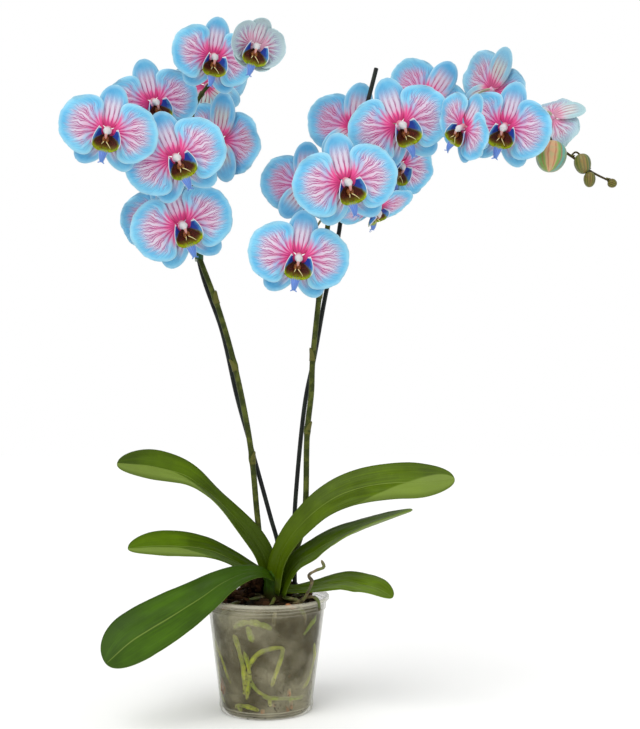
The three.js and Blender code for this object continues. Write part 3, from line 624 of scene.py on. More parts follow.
# The small knob behind the tepals, where the stalk ends
def hubPart(slot):
    path = np.stack([np.zeros(6), np.zeros(6), np.linspace(-3.2, 1.6, 6)], axis=-1)
    return tubePart(path, [1.9, 2.8, 3.5, 4.0, 4.2, 3.6], 16, slot)


# Pink with pale blotches
def hubFinish():
    f = Finish("stalkEndSkin", roughness=0.5)
    return f.colour(f.mottle((500, 2), (0.4, 0.65), screen(226, 150, 190), screen(214, 196, 206)))


# Two petals, the upper sepal, the two lower sepals and the knob. Finish slots: 0 petals, 1 upper sepal,
# 2 lower sepals, 3 knob
def tepalParts(openness, seed, tints):
    s = bloomSettings
    level, spread = s["lateral"]["level"], s["lateralSpread"]
    return [
        petalPart(1, openness, seed, tints),
        petalPart(-1, openness, seed + 11, tints),
        sepalPart("dorsal", 0, s["dorsal"]["level"], openness, seed + 21, tints, 1),
        sepalPart("lateral", 180 - spread, level, openness, seed + 31, tints, 2),
        sepalPart("lateral", 180 + spread, level - 1, openness, seed + 41, tints, 2),
        hubPart(3),
    ]


lipSettings = {
    "thickness": 0.8,
    "back": ((0, -1, 4.5), (7, -10, 3.5), (9, 2, 7)),
    "front": ((0, -23, 8), (26, -22, 15), (11, 3, 13)),
    "grid": (14, 49),
    "size": (26, 14),  # from the middle to the end of a lobe, and from back to front
    "bulge": 2.6,
    "reach": (0.74, 0.9, 1.04),  # the left lobe is folded in, the right one stands open
    "middle": {"start": -20, "length": 14, "level": 9, "rise": 4, "halfWidth": 5.4, "grid": (20, 13)},
    "tendril": {"radius": 0.45, "length": 4},
}


# A bow over three points: a(1-t)^2 + 2b t(1-t) + c t^2
def arch(points, t):
    a, b, c = (np.array(p, float) for p in points)
    t = t[..., None]
    return a * (1 - t)**2 + 2 * b * t * (1 - t) + c * t * t


# The side lobes and the floor between them: straight from a back edge to a front edge, bulging outwards
def sideLobesPart(slot):
    s = lipSettings
    u, across = grid(s["grid"], -1, 1)
    rise = np.abs(across)
    middle = arch(s["back"], rise) * (1 - u)[..., None] + arch(s["front"], rise) * u[..., None]
    bulge = np.sin(np.pi * u) * np.sin(np.pi * np.clip(rise, 0, 1)**0.8)
    middle[..., 0] += s["bulge"] * bulge
    middle[..., 1] -= 1.2 * bulge * (1 - rise)
    middle[..., 0] *= np.sign(across) * np.interp(across, (-1, 0, 1), s["reach"])
    middle[..., 2] += 1.8 * np.clip(-across, 0, 1) * u
    wide, deep = s["size"]
    edge = np.minimum(np.minimum(wide - np.abs(across * wide), deep - u * deep), 9.0)
    thickness = s["thickness"] * (0.5 + 0.5 * np.clip(edge / 3, 0, 1))
    return sheetPart(middle, thickness, u, across, edge, slot, kind=0.0)


# The pointed middle lobe: its half width tapers as 1 - 0.7 u^1.3, and it is lifted and bent over as
# sin(2.6 u)
def middleLobePart(slot):
    s = lipSettings["middle"]
    u, across = grid(s["grid"], 1, -1)
    reach = s["halfWidth"] * (1 - 0.7 * u**1.3) * across
    keel = 1.2 * (1 - np.abs(across)) * np.sin(np.pi * u)
    height = s["level"] + s["rise"] * np.sin(2.6 * u) - 1.5 * across**2 + keel
    middle = np.stack([reach, s["start"] - s["length"] * u, height], axis=-1)
    edge = edgeDistance(middle[..., :2])
    return sheetPart(middle, 0.7, u, across, edge, slot, kind=1.0)


# Two fine curls at the tip of the middle lobe
def tendrilPart(side, slot):
    s, m = lipSettings["tendril"], lipSettings["middle"]
    t = np.linspace(0, 1, 14)
    curl = np.pi * 1.15 * t
    x = side * (0.7 + 2.6 * np.sin(curl * 0.8))
    y = m["start"] - m["length"] + 0.6 - s["length"] * 0.36 * np.sin(curl)
    z = m["level"] + m["rise"] * np.sin(2.6) + s["length"] * 0.55 * (1 - np.cos(curl)) / 2
    return tubePart(np.stack([x, y, z], axis=-1), s["radius"] * (1.15 - 0.75 * t), 6, slot, kind=2.0)


# The crest in the throat: two mounds side by side that rise to small teeth, and a pale bristle out of each
def crestParts(slot):
    parts = []
    for side, long in ((-1, 0.3), (1, 1.0)):
        mound = np.linspace((side * 1.3, -6, 7.5), (side * 2.1, -12.5, 9.8), 7)
        parts.append(tubePart(mound, [0.5, 1.2, 1.9, 2.1, 1.9, 1.5, 0.8], 10, slot, kind=3.0))
        tooth = np.linspace((side * 1.1, -8.6, 9.4), (side * 0.9, -5.4, 12.2), 5)
        parts.append(tubePart(tooth, np.linspace(1.0, 0.3, 5), 8, slot, kind=3.4))
        bend = np.array([
            (side * 1.4, -12, 10.2),
            (side * (1 + 2.2 * long), -12.8 - long, 12.0),
            (side * (1 + 4.2 * long), -13.4 - 2.2 * long, 13.0),
            (side * (1 + 5.8 * long), -14 - 4 * long, 13.2),
        ])
        parts.append(tubePart(bezier(*bend, 9), np.linspace(0.5, 0.2, 9), 7, slot, kind=4.0))
    return parts


# The column: a round stalk that swells to an egg-shaped cap and nods over the throat
def columnPart(slot):
    t = np.linspace(0, 1, 17)
    path = np.stack([0 * t, 2.2 - 5.2 * t**1.6, 1.8 + 11 * t - 1.2 * t**3], axis=-1)
    radius = runThrough([3.2, 2.9, 3.0, 3.5, 3.9, 3.7, 2.2], t)
    return tubePart(path, radius, 22, slot, shape=lambda a: 1 + 0.06 * np.cos(2 * a), kind=5.0)


# The small beak under the cap
def beakPart(slot):
    path = np.array([[0, -4.2, 12.0], [0, -5.8, 12.3], [0.1, -7.4, 11.8], [0.1, -8.6, 11.0]])
    return tubePart(path, [1.7, 1.5, 1.1, 0.5], 10, slot, kind=6.0)


lipColours = {
    "lobe": screen(78, 142, 204),
    "lobeDeep": screen(38, 62, 152),
    "rim": screen(222, 230, 236),
    "lime": screen(150, 168, 0),
    "moss": screen(104, 140, 10),
    "olive": screen(96, 84, 4),
    "throat": screen(58, 18, 4),
    "arrow": screen(92, 134, 204),
    "arrowVein": screen(98, 66, 164),
    "column": screen(206, 204, 204),
    "blush": screen(206, 120, 140),
}


# Side lobes and floor: blue lobes with a white rim above, lime along the front, and a red-brown throat
def lobeFinish():
    k = lipColours
    f = Finish("lipLobeSkin", roughness=0.45, Specular_IOR_Level=0.15)
    along, across, edge = f.mark("along"), f.mark("across"), f.mark("edge")
    rise = f.math("ABSOLUTE", across)
    blotch = f.minus(f.noise(380, 3), 0.5)
    high = f.plus(rise, f.times(blotch, 0.14))
    lobe = f.mix(f.ramp(f.plus(along, f.times(blotch, 0.5)), 0.75, 0.3), k["lobe"], k["lobeDeep"])
    lime = f.mottle((260, 2), (0.4, 0.65), k["lime"], k["moss"])
    shade = f.mix(f.ramp(f.plus(high, f.times(along, -0.12)), 0.36, 0.58), lime, lobe)
    depth = f.minus(f.plus(1.0, f.times(blotch, 0.25)), along)
    shade = f.mix(f.times(f.ramp(depth, 0.06, 0.3), f.ramp(high, 0.6, 0.4)), shade, k["olive"])
    shade = f.mix(f.times(f.ramp(depth, 0.2, 0.5), f.ramp(high, 0.66, 0.4)), shade, k["throat"])
    specks = f.ramp(f.noise(1400, 1), 0.58, 0.64)
    shade = f.mix(f.times(specks, f.ramp(high, 0.5, 0.3)), shade, screen(110, 32, 14))
    shade = f.mix(f.times(f.ramp(edge, 1.5, 0.6), f.ramp(high, 0.4, 0.6)), shade, k["rim"])
    f.bump(f.noise(700, 2), 0.0002, 0.3)
    return f.colour(shade)


# The middle lobe: lime foot, blue blade with darker veins, pale rim
def arrowFinish():
    k = lipColours
    f = Finish("lipArrowSkin", roughness=0.42, Specular_IOR_Level=0.3)
    along, across, edge = f.mark("along"), f.mark("across"), f.mark("edge")
    vein = f.math("ABSOLUTE", f.math("SINE", f.times(across, 7.5)))
    foot = f.ramp(f.plus(along, f.times(f.noise(300, 2), 0.2)), 0.2, 0.36)
    shade = f.mix(foot, k["lime"], k["arrow"])
    vein = f.times(f.ramp(vein, 0.55, 0.1), f.ramp(along, 1.0, 0.4, 0.0, 0.75))
    shade = f.mix(vein, shade, k["arrowVein"])
    shade = f.mix(f.ramp(edge, 0.8, 0.2, 0.0, 0.5), shade, k["rim"])
    f.bump(f.noise(800, 2), 0.00015, 0.3)
    return f.colour(shade)


# Red-brown and tan mounds, paler teeth (kind 3.4), cream bristles (kind 4)
def crestFinish():
    f = Finish("crestSkin", roughness=0.4, Specular_IOR_Level=0.35)
    kind = f.mark("kind")
    mound = f.mottle((1300, 2), (0.42, 0.6), screen(84, 28, 12), screen(150, 92, 24))
    mound = f.mix(f.ramp(kind, 3.1, 3.35, 0.0, 0.8), mound, screen(188, 96, 52))
    return f.colour(f.mix(f.ramp(kind, 3.5, 3.8), mound, screen(226, 214, 150)))


# White cap with a pink foot; a pinker beak (kind 6); the curls (kind 2) are blue as the lobe they end
def columnFinish():
    k = lipColours
    f = Finish("columnSkin", roughness=0.45, Specular_IOR_Level=0.35)
    along, kind = f.mark("along"), f.mark("kind")
    shade = f.mix(f.ramp(along, 0.6, 0.15, 0.0, 0.9), k["column"], k["blush"])
    shade = f.mottle((500, 2), (0.5, 0.75, 0.0, 0.25), shade, screen(176, 160, 166))
    shade = f.mix(f.ramp(kind, 5.4, 5.8), shade, screen(204, 148, 140))
    shade = f.mix(f.ramp(kind, 3.0, 2.2), shade, k["arrow"])
    f.bump(f.noise(900, 2), 0.0001, 0.3)
    return f.colour(shade)


lipFinishes = [lobeFinish(), arrowFinish(), crestFinish(), columnFinish()]


# Finish slots: 0 side lobes, 1 middle lobe, 2 crest, 3 column and curls
def lipParts():
    return [sideLobesPart(0), middleLobePart(1), tendrilPart(1, 3), tendrilPart(-1, 3), *crestParts(2),
            columnPart(3), beakPart(3)]


tepalFinishes = [petalFinish, dorsalFinish, lateralFinish, hubFinish()]
for seed, bloom in enumerate(blooms["left"] + blooms["right"]):
    name, at, yaw, pitch, roll, size, openness, _ = bloom
    turn = facing(yaw, pitch, roll)
    tints = {"pale": paleBlooms.get(name, 0.0), "green": greenBlooms.get(name, 0.0), "own": 1.7 * seed}
    tepals = [moved(part, turn, size, at) for part in tepalParts(openness, 100 * seed + 7, tints)]
    makePiece("tepals_" + name, tepals, tepalFinishes, ["bloom_" + name + "_tepals"])
    twist = turn @ turned(1, 0 if name in straightLips else lipTwist)
    lip = [moved(part, twist, size, at) for part in lipParts()]
    makePiece("lip_" + name, lip, lipFinishes, ["bloom_" + name + "_lip"])
print("blooms made:", len(blooms["left"] + blooms["right"]))


# For the painted sheen on a leaf: which side is the lower one, where along the paler part starts and is
# widest, and how far across its border gets
leafSettings = {"thickness": 2.2, "edgeThickness": 0.9, "swell": 0.5, "grid": (64, 25)}
leaves = {
    "upper_left": {
        "midrib": [(2, 1, 129), (-7, 0, 151), (-29, -3, 178), (-54, -3, 203), (-78, -4, 221),
                   (-108, -6, 230), (-144, -10, 234)],
        "halfWidths": [10, 12.5, 12, 14, 17, 17],
        "faces": [(0.5, -0.8, 0.3), (0.6, -0.62, 0.5), (0.66, -0.36, 0.65), (0.1, -0.78, 0.62),
                  (0, -0.8, 0.6)],
        "fold": 0.36, "tip": 0.22, "paintedSheenHalf": (-1, 0.4, 0.75, -0.05), "tone": screen(74, 98, 0),
    },
    "middle_left": {
        "midrib": [(6, 8, 118), (-14, 10, 128), (-32, 8, 138), (-55, 0, 149), (-80, -10, 154),
                   (-105, -20, 156), (-129, -30, 155)],
        "halfWidths": [9, 10, 13, 17, 18, 17],
        "faces": [(0.2, -0.4, 0.9), (0.1, -0.5, 0.85), (0, -0.6, 0.8), (0, -0.6, 0.8)],
        "fold": 0.3, "tip": 0.3, "paintedSheenHalf": (-1, 0.4, 0.7, 0.1), "tone": screen(80, 108, 0),
    },
    "lower_left": {
        "midrib": [(5, -11, 126), (-5, -18, 131), (-20, -27, 131), (-38, -36, 124), (-56, -44, 113),
                   (-85, -58, 96), (-115, -72, 79), (-137, -84, 61)],
        "halfWidths": [8, 13.5, 22, 28, 30, 30],
        "faces": [(-0.1, -0.5, 0.85), (-0.25, -0.62, 0.72), (-0.35, -0.72, 0.6), (-0.35, -0.72, 0.6)],
        "fold": 0.16, "tip": 0.2, "paintedSheenHalf": None, "tone": screen(62, 96, 4),
    },
    "upper_right": {
        "midrib": [(7, -6, 112), (12, -12, 140), (23, -16, 162), (37, -18, 179), (53, -20, 194),
                   (72, -21, 205), (94, -22, 212), (121, -25, 216), (151, -28, 217), (178, -33, 220)],
        "halfWidths": [11, 12.5, 15.5, 19, 20, 19],
        "faces": [(-0.55, -0.65, 0.5), (-0.4, -0.75, 0.53), (-0.1, -0.8, 0.58), (0.05, -0.82, 0.57)],
        "fold": 0.26, "tip": 0.2, "paintedSheenHalf": (1, 0.5, 1.0, -0.6), "tone": screen(84, 108, 0),
    },
    "middle_right": {
        "midrib": [(14, -9, 110), (18, -10, 121), (24, -11, 132), (33, -14, 142), (47, -19, 151),
                   (57, -22, 158), (74, -27, 167), (95, -33, 176), (137, -46, 193)],
        "halfWidths": [10, 13, 17, 19, 18, 14],
        "faces": [(-0.6, -0.6, 0.55), (-0.5, -0.46, 0.72), (-0.4, -0.1, 0.9), (-0.35, -0.02, 0.93)],
        "fold": 0.26, "tip": 0.35, "paintedSheenHalf": (1, 0.45, 0.8, 0.0), "tone": screen(78, 104, 0),
    },
    "lower_right": {
        "midrib": [(12, 3, 112), (28, 0, 112), (45, -1, 114), (60, -7, 118), (76, -14, 121),
                   (92, -24, 120), (105, -34, 118), (118, -44, 112)],
        "halfWidths": [8, 9, 14, 17, 17, 15],
        "faces": [(-0.1, -0.3, 0.95), (0, -0.4, 0.9), (0.1, -0.45, 0.9), (0.35, -0.55, 0.75)],
        "fold": 0.18, "tip": 0.28, "paintedSheenHalf": None, "tone": screen(98, 126, 0),
    },
}


# A strap leaf: the midrib plus across times the half width to each side, folded upwards along the midrib
# by |across|, with the half width rounded off as a quarter ellipse at the tip
def leafPart(leaf, seed):
    s = leafSettings
    rows, columns = s["grid"]
    u = np.sin(np.linspace(0, np.pi / 2, rows))
    midrib = curveThrough(leaf["midrib"], 400)
    at = readChain(midrib, u)
    tangent = unit(readChain(np.gradient(midrib, axis=0), u))
    side = unit(np.cross(tangent, runThrough(leaf["faces"], u)))
    up = unit(np.cross(side, tangent))
    past = np.clip((u - 1 + leaf["tip"]) / leaf["tip"], 0, 1)[:, None]
    reach = runThrough(leaf["halfWidths"], u)[:, None] * np.maximum(np.sqrt(1 - past**2), 0.05)
    across = np.linspace(1, -1, columns)[None, :]
    crease = np.sqrt(across**2 + 0.01) - 0.1
    swell = s["swell"] * wander(across * 3 + 2, u[:, None] * 6, seed) * (1 - past)
    lift = crease * leaf["fold"] * reach + swell
    middle = at[:, None] + side[:, None] * (across * reach)[..., None] + up[:, None] * lift[..., None]
    edge = reach * (1 - np.abs(across))
    thickness = s["edgeThickness"] + (s["thickness"] - s["edgeThickness"]) * (1 - across**2)
    thickness = thickness * np.clip(reach / 4, 0.35, 1)
    return sheetPart(middle, thickness, u[:, None], across, edge)


# Leaf skin: patches of darker green, a grain along the leaf, a pale midrib, a darker base and rim, and a
# painted sheen: a paler part below a border that moves across the leaf towards its tip, where the lower
# side turns to the light
def leafFinish(name, tone, paintedSheenHalf):
    f = Finish("leafSkin_" + name, roughness=0.42, Specular_IOR_Level=0.12)
    along, across, front = f.mark("along"), f.mark("across"), f.mark("front")
    dark = tuple(0.5 * v for v in tone[:3]) + (1.0,)
    light = tuple(min(1.7 * v, 1) for v in tone[:3]) + (1.0,)
    pale = screen(128, 148, 66)
    patch = f.ramp(f.noise(18, 3, 0.55), 0.35, 0.68)
    shade = f.mix(patch, dark, tone)
    grain = f.streaks(across, along, (16, 2.5), 3, 0.6)
    shade = f.mix(f.ramp(grain, 0.45, 0.75, 0.0, 0.28), shade, light)
    shade = f.mottle((900, 2), (0.66, 0.76, 0.0, 0.3), shade, light)  # fine pores
    # painted sheen: the lower half paled towards the tip, where it catches the light
    if paintedSheenHalf:
        side, start, end, last = paintedSheenHalf
        border = f.ramp(along, start, end, 1.0, last)
        lower = f.ramp(f.minus(f.times(across, side), border), 0.0, 0.12)
        shade = f.mix(f.times(lower, 0.6), shade, pale)
    aside = f.math("ABSOLUTE", across)
    shade = f.mix(f.ramp(aside, 0.6, 1.0, 0.0, 0.55), shade, dark)
    shade = f.mix(f.ramp(along, 0.55, 0.1, 0.0, 0.8), shade, dark)
    rib = f.ramp(aside, 0.045, 0.0)
    shade = f.mix(f.times(rib, f.ramp(along, 0.15, 0.5, 0.1, 0.6)), shade, pale)
    under = f.mix(0.5, tone, pale)
    shade = f.mix(front, under, shade)
    height = f.plus(f.times(grain, 0.4), f.times(rib, -1.2))
    f.bump(height, 0.0007, 0.5)
    return f.colour(shade)


for seed, (name, leaf) in enumerate(leaves.items()):
    finish = leafFinish(name, leaf["tone"], leaf["paintedSheenHalf"])
    makePiece("strap_leaf_" + name, [leafPart(leaf, 900 + seed)], [finish], ["leaf_" + name])
print("leaves made:", len(leaves))


crownSettings = {
    "x": 8, "y": 0, "radius": 11, "foot": 84, "top": 141,
    "radii": [7.4, 10.2, 10.4, 10.2, 8.8, 3.6], "scars": 5, "scarDepth": 0.5,
    "brown": screen(48, 36, 16), "green": screen(48, 82, 0), "blotch": screen(30, 48, 4),
}


# A short stem of overlapping leaf bases: its radius swells and steps down at each old leaf scar
def crownPart():
    s = crownSettings
    t = np.linspace(0, 1, 30)
    path = np.stack([s["x"] + 0 * t, s["y"] + 0 * t, s["foot"] + (s["top"] - s["foot"]) * t], axis=-1)
    scars = s["scarDepth"] * np.abs(np.sin(s["scars"] * np.pi * t))
    radius = runThrough(s["radii"], t) + scars
    return tubePart(path, radius, 28, shape=lambda a: 1 + 0.05 * np.cos(2 * a))


# Brown foot, green above, with darker blotches
def crownFinish():
    k = crownSettings
    f = Finish("leafBaseSkin", roughness=0.5, Specular_IOR_Level=0.1)
    shade = f.mix(f.ramp(f.mark("along"), 0.35, 0.62), k["brown"], k["green"])
    shade = f.mottle((240, 3), (0.45, 0.7, 0, 0.6), shade, k["blotch"])
    f.bump(f.noise(400, 3), 0.0005, 0.4)
    return f.colour(shade)


makePiece("crown_sheaths", [crownPart()], [crownFinish()], ["crown"])
print("crown made")


stemSettings = {
    "radii": [2.9, 2.85, 2.75, 2.6, 2.3, 2.0, 1.7], "steps": (150, 120), "sides": 16,
    "nodeSwell": 0.7, "nodeHalf": 0.007, "bract": (2.75, 13), "smallBract": (1.9, 6), "budBract": (1.3, 4),
    "gap": 0.3, "hubBack": 3.8, "stalkRadii": [1.5, 1.15, 1.1, 1.2, 1.5], "twigRadii": (1.6, 1.0),
}
spikes = {
    "left": {
        "lower": [(3, 6, 134), (-6, 13, 152), (-10, 12, 181), (-16, -1, 249), (-30, -4, 322),
                  (-47, -2, 382), (-69, 2, 440)],
        "upper": [(-69, 2, 440), (-77, 4, 490), (-79, 4, 543), (-72, 3, 588), (-53, 0, 613),
                  (-30, -8, 624), (-12, -20, 622)],
        "nodes": (0.34, 0.63, 0.84),
    },
    "right": {
        "lower": [(15, 4, 130), (28, 6, 150), (36, 4, 180), (39, 0, 265), (43, 0, 303), (44, 0, 331),
                  (50, 0, 392), (59, 2, 467)],
        "upper": [(59, 2, 467), (73, 3, 523), (98, 3, 563), (132, 2, 584), (175, 0, 591), (218, -4, 584),
                  (257, -8, 565)],
        "nodes": (0.41, 0.62, 0.8),
    },
}
twigPath = [(257, -8, 565), (274, -10, 551), (289, -12, 538), (303, -12, 528), (315, -12, 518),
            (334, -12, 508)]
# lean in degrees to the right, the place on the twig that the bud leaves, ripe is 1 for a coloured bud
buds = [
    {"at": (276, -14, 532), "length": 31, "radius": 15.5, "lean": 8, "leaves": (270, -10, 554),
     "ripe": 1.0},
    {"at": (307, -13, 525), "length": 20, "radius": 8.5, "lean": -12, "leaves": (296, -12, 533),
     "ripe": 0.25},
    {"at": (313, -15, 509), "length": 15, "radius": 6, "lean": 0, "leaves": (312, -12, 520), "ripe": 0.1},
    {"at": (336, -12, 506), "length": 9, "radius": 4.6, "lean": -70, "leaves": (330, -12, 510),
     "ripe": 0.0},
]
stemColours = {
    "dark": screen(44, 54, 10),
    "light": screen(80, 88, 30),
    "streak": screen(58, 44, 26),
    "bract": screen(94, 92, 40),
    "twig": screen(66, 52, 30),
    "stalkFoot": screen(96, 96, 58),
    "stalkEnd": screen(190, 196, 170),
}
budColours = {
    "olive": screen(74, 74, 20),
    "oliveStripe": screen(116, 108, 44),
    "oliveBlotch": screen(96, 66, 38),
    "green": screen(116, 156, 76),
    "tan": screen(202, 160, 118),
    "blue": screen(96, 156, 150),
    "red": screen(164, 92, 66),
    "blotch": screen(150, 176, 120),
}


# A bract: part of a sleeve round the stem that narrows to a point as (1 - u^1.6)^0.7 and leans out as u^2
def bractPart(at, tangent, outward, radius, height):
    outward = unit(outward - tangent * (outward @ tangent))
    sideways = np.cross(tangent, outward)
    u, across = grid((9, 9), -1, 1)
    angle = np.radians(105) * across * np.maximum(1 - u**1.6, 0.004) ** 0.7
    r = radius + 0.35 + 1.1 * u**2
    out, aside, up = r * np.cos(angle), r * np.sin(angle), height * (u - 0.25)
    middle = at + tangent * up[..., None] + outward * out[..., None] + sideways * aside[..., None]
    return sheetPart(middle, 0.5, 0.5, across, 3.0 * (1 - np.abs(across)), kind=1.0, ripe=0.0)


# Straight up, leaned to the right by the bud's lean
def budAxis(bud):
    lean = np.radians(bud["lean"])
    return np.array([np.sin(lean), 0, np.cos(lean)])


# Three seams as narrow bell curves, and a slightly three-sided section: 0.02 cos 3a
def budSection(turn):
    fromSeam = np.mod(turn * 3 / (2 * np.pi), 1) - 0.5
    return 0.95 - 0.045 * np.exp(-(fromSeam / 0.06)**2) + 0.02 * np.cos(3 * turn)


# A closed bud: an ellipsoid, r = sin^0.85 (1 + 0.08 cos) of the polar angle, so widest towards one end
def budPart(bud, slot):
    polar = np.pi * np.linspace(0, 1, 26)
    half = bud["length"] / 2
    path = np.array(bud["at"]) + budAxis(bud) * (half * 0.985 * np.cos(polar))[:, None]
    radius = np.maximum(bud["radius"] * np.sin(polar) ** 0.85 * (1 + 0.08 * np.cos(polar)), 0.35)
    return tubePart(path, radius, 42, slot, domed=False, shape=budSection, kind=0.0, ripe=bud["ripe"])


# A curve from the twig over a raised middle to the bud's top
def budStalkPart(bud):
    top = np.array(bud["at"]) + budAxis(bud) * bud["length"] * 0.45
    start = np.array(bud["leaves"], float)
    hook = (top + start) / 2 + np.array([0, 0, bud["length"] * 0.16])
    return tubePart(curveThrough([start, hook, top], 14), 0.9, 8, 0, kind=2.0, ripe=0.0)


# A bloom's stalk leaves the stem along it and comes to the bloom's back from behind
def stalkPart(at, turn, size, stem, leave):
    s = stemSettings
    back = turn @ np.array([0, 0, -1.0])
    end = np.array(at) + back * (s["gap"] + s["hubBack"]) * size
    place = leave * (len(stem) - 1)
    k = min(int(place), len(stem) - 2)
    start = stem[k] + (stem[k + 1] - stem[k]) * (place - k)
    tangent = unit(stem[k + 1] - stem[k])
    span = np.linalg.norm(end - start)
    path = bezier(start, start + tangent * span * 0.25, end + back * span * 0.28, end, 22)
    path = np.vstack([path, end - back * 1.4 * size])
    radius = runThrough(s["stalkRadii"], np.linspace(0, 1, 23))
    return tubePart(path, radius, 9, 0, kind=3.0, ripe=0.0), start, tangent, path


# Mottled olive with brown streaks (kind 0), paler bracts (1), brown twigs (2), and stalks (3) that pale
# towards the bloom
def stemFinish():
    k = stemColours
    f = Finish("stemSkin", roughness=0.45, Specular_IOR_Level=0.15)
    kind, along = f.mark("kind"), f.mark("along")
    mottle = f.ramp(f.noise(120, 4, 0.6), 0.4, 0.66)
    shade = f.mix(mottle, k["dark"], k["light"])
    grain = f.streaks(f.mark("across"), along, (14, 5), 2, 0.5)
    shade = f.mix(f.ramp(grain, 0.5, 0.8, 0, 0.5), shade, k["streak"])
    bract = f.times(f.ramp(kind, 0.4, 0.9), f.ramp(kind, 1.6, 1.1))
    shade = f.mix(f.times(bract, 0.8), shade, k["bract"])
    twig = f.times(f.ramp(kind, 1.5, 1.9), f.ramp(kind, 2.6, 2.1))
    shade = f.mix(f.times(twig, 0.75), shade, k["twig"])
    stalkTone = f.mix(f.ramp(along, 0.3, 1.0), k["stalkFoot"], k["stalkEnd"])
    shade = f.mix(f.times(f.ramp(kind, 2.6, 2.95), 0.85), shade, stalkTone)
    f.bump(f.noise(600, 3), 0.0002, 0.4)
    return f.colour(shade)


# Stripes from base to tip, sin(44 across) with a bent across. Unripe buds are olive, ripe ones have broad
# green and tan bands with some blue and red
def budFinish():
    k = budColours
    f = Finish("budSkin", roughness=0.4, Specular_IOR_Level=0.25)
    bent = f.plus(f.mark("across"), f.swing(f.noise(60, 2), 0.12))
    stripes = f.math("SINE", f.times(bent, 44))
    olive = f.mix(f.ramp(stripes, -0.4, 0.7), k["olive"], k["oliveStripe"])
    olive = f.mottle((240, 3), (0.5, 0.7, 0, 0.5), olive, k["oliveBlotch"])
    wide = f.math("SINE", f.times(bent, 10.5))
    tan = f.mix(f.ramp(wide, -0.2, 0.6), k["green"], k["tan"])
    blue = f.math("SINE", f.plus(f.times(bent, 7.3), 1.1))
    tan = f.mix(f.ramp(blue, 0.35, 0.9, 0, 0.9), tan, k["blue"])
    tan = f.mix(f.ramp(stripes, 0.5, 0.95, 0, 0.6), tan, k["red"])
    tan = f.mottle((140, 3), (0.45, 0.7, 0, 0.5), tan, k["blotch"])
    f.bump(f.plus(f.times(stripes, 0.5), f.noise(500, 2)), 0.0002, 0.4)
    return f.colour(f.mix(f.mark("ripe"), olive, tan))


# The stem with its swollen nodes, a bract at each node, and a stalk with a small bract for each bloom
def spikeParts(side, spike):
    s = stemSettings
    count = s["steps"][0]
    lower, upper = curveThrough(spike["lower"], count), curveThrough(spike["upper"], s["steps"][1])
    whole = np.vstack([lower, upper[1:]])
    height = np.linspace(0, 1, len(whole))
    radius = runThrough(s["radii"], height)
    for at in spike["nodes"]:
        away = (height - at * count / len(whole)) / s["nodeHalf"]
        radius = radius + s["nodeSwell"] * np.exp(-away**2)
    parts = [tubePart(whole, radius, s["sides"], kind=0.0, ripe=0.0)]
    for towards, at in zip((1, -1, 1), spike["nodes"]):
        k = int(at * (count - 1))
        tangent = unit(lower[k + 1] - lower[k])
        parts.append(bractPart(lower[k], tangent, np.array([towards, -0.6, 0.0]), *s["bract"]))
    for _, at, yaw, pitch, roll, size, _, leave in blooms[side]:
        stalk, start, tangent, path = stalkPart(at, facing(yaw, pitch, roll), size, upper, leave)
        parts += [stalk, bractPart(start, tangent, path[6] - start, *s["smallBract"])]
    return parts


# The twig at the end of the right spike with its four buds, each with a stalk and a bract
def twigParts():
    s = stemSettings
    twig = curveThrough(twigPath, 50)
    parts = [tubePart(twig, np.linspace(*s["twigRadii"], 50), 10, kind=2.0, ripe=0.0)]
    for bud in buds:
        k = min(int(np.argmin(np.linalg.norm(twig - np.array(bud["leaves"]), axis=1))), 48)
        tangent = unit(twig[k + 1] - twig[k])
        bract = bractPart(twig[k], tangent, np.array([0.2, 0.1, 1.0]), *s["budBract"])
        parts += [budPart(bud, 1), budStalkPart(bud), bract]
    return parts


stemSkin, budSkin = stemFinish(), budFinish()
for side, spike in spikes.items():
    parts = spikeParts(side, spike) + (twigParts() if side == "right" else [])
    makePiece("flower_spike_" + side, parts, [stemSkin, budSkin], ["spike_" + side])
print("spikes made:", len(spikes))


stakeSettings = {
    "radius": 2.2, "ribs": 6, "ribDepth": 0.03,
    "dark": screen(14, 18, 16), "light": screen(30, 38, 30), "speck": screen(70, 76, 60),
    "clipDark": screen(30, 66, 30), "clipLight": screen(40, 84, 38),
}
stakes = {
    "left": [(13, 20, 14), (13, 19, 100), (10, 17, 153), (3, 16, 179), (-16, 11, 248), (-30, 8, 298),
             (-45, 10, 362), (-70, 14, 439), (-79, 17, 607)],
    "right": [(28, 16, 14), (27, 15, 100), (26, 14, 169), (28, 12, 207), (37, 10, 295), (46, 10, 339),
              (57, 10, 400), (69, 12, 455), (76, 14, 500), (108, 15, 629)],
}


# Near-black green with pale specks
def stakeFinish():
    k = stakeSettings
    f = Finish("stakeCoating", roughness=0.42, Specular_IOR_Level=0.2)
    shade = f.mottle((90, 3), (0.4, 0.7), k["dark"], k["light"])
    shade = f.mottle((1400, 2), (0.66, 0.74, 0, 0.6), shade, k["speck"])
    f.bump(f.noise(700, 3), 0.0003, 0.4)
    return f.colour(shade)


# The clips keep their CAD shape and take only this finish
def clipFinish():
    k = stakeSettings
    f = Finish("clipPlastic", roughness=0.35, Specular_IOR_Level=0.5)
    shade = f.mottle((300, 2), (0.4, 0.65), k["clipDark"], k["clipLight"])
    f.bump(f.noise(1200, 2), 0.0001, 0.3)
    return f.colour(shade)


# A round rod with low ribs along it
def stakePart(points):
    s = stakeSettings
    ribs = lambda a: 1 + s["ribDepth"] * np.cos(s["ribs"] * a)
    return tubePart(curveThrough(points, 140), s["radius"] * 0.98, 24, domed=False, shape=ribs)


stakeCoating, clipPlastic = stakeFinish(), clipFinish()
for side, points in stakes.items():
    rod = stakePart(points)
    makePiece("plant_stake_" + side, [rod], [stakeCoating], ["stake_" + side])
    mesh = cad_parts["clip_" + side].data
    mesh.materials.clear()
    mesh.materials.append(clipPlastic)
print("stakes and clips made")


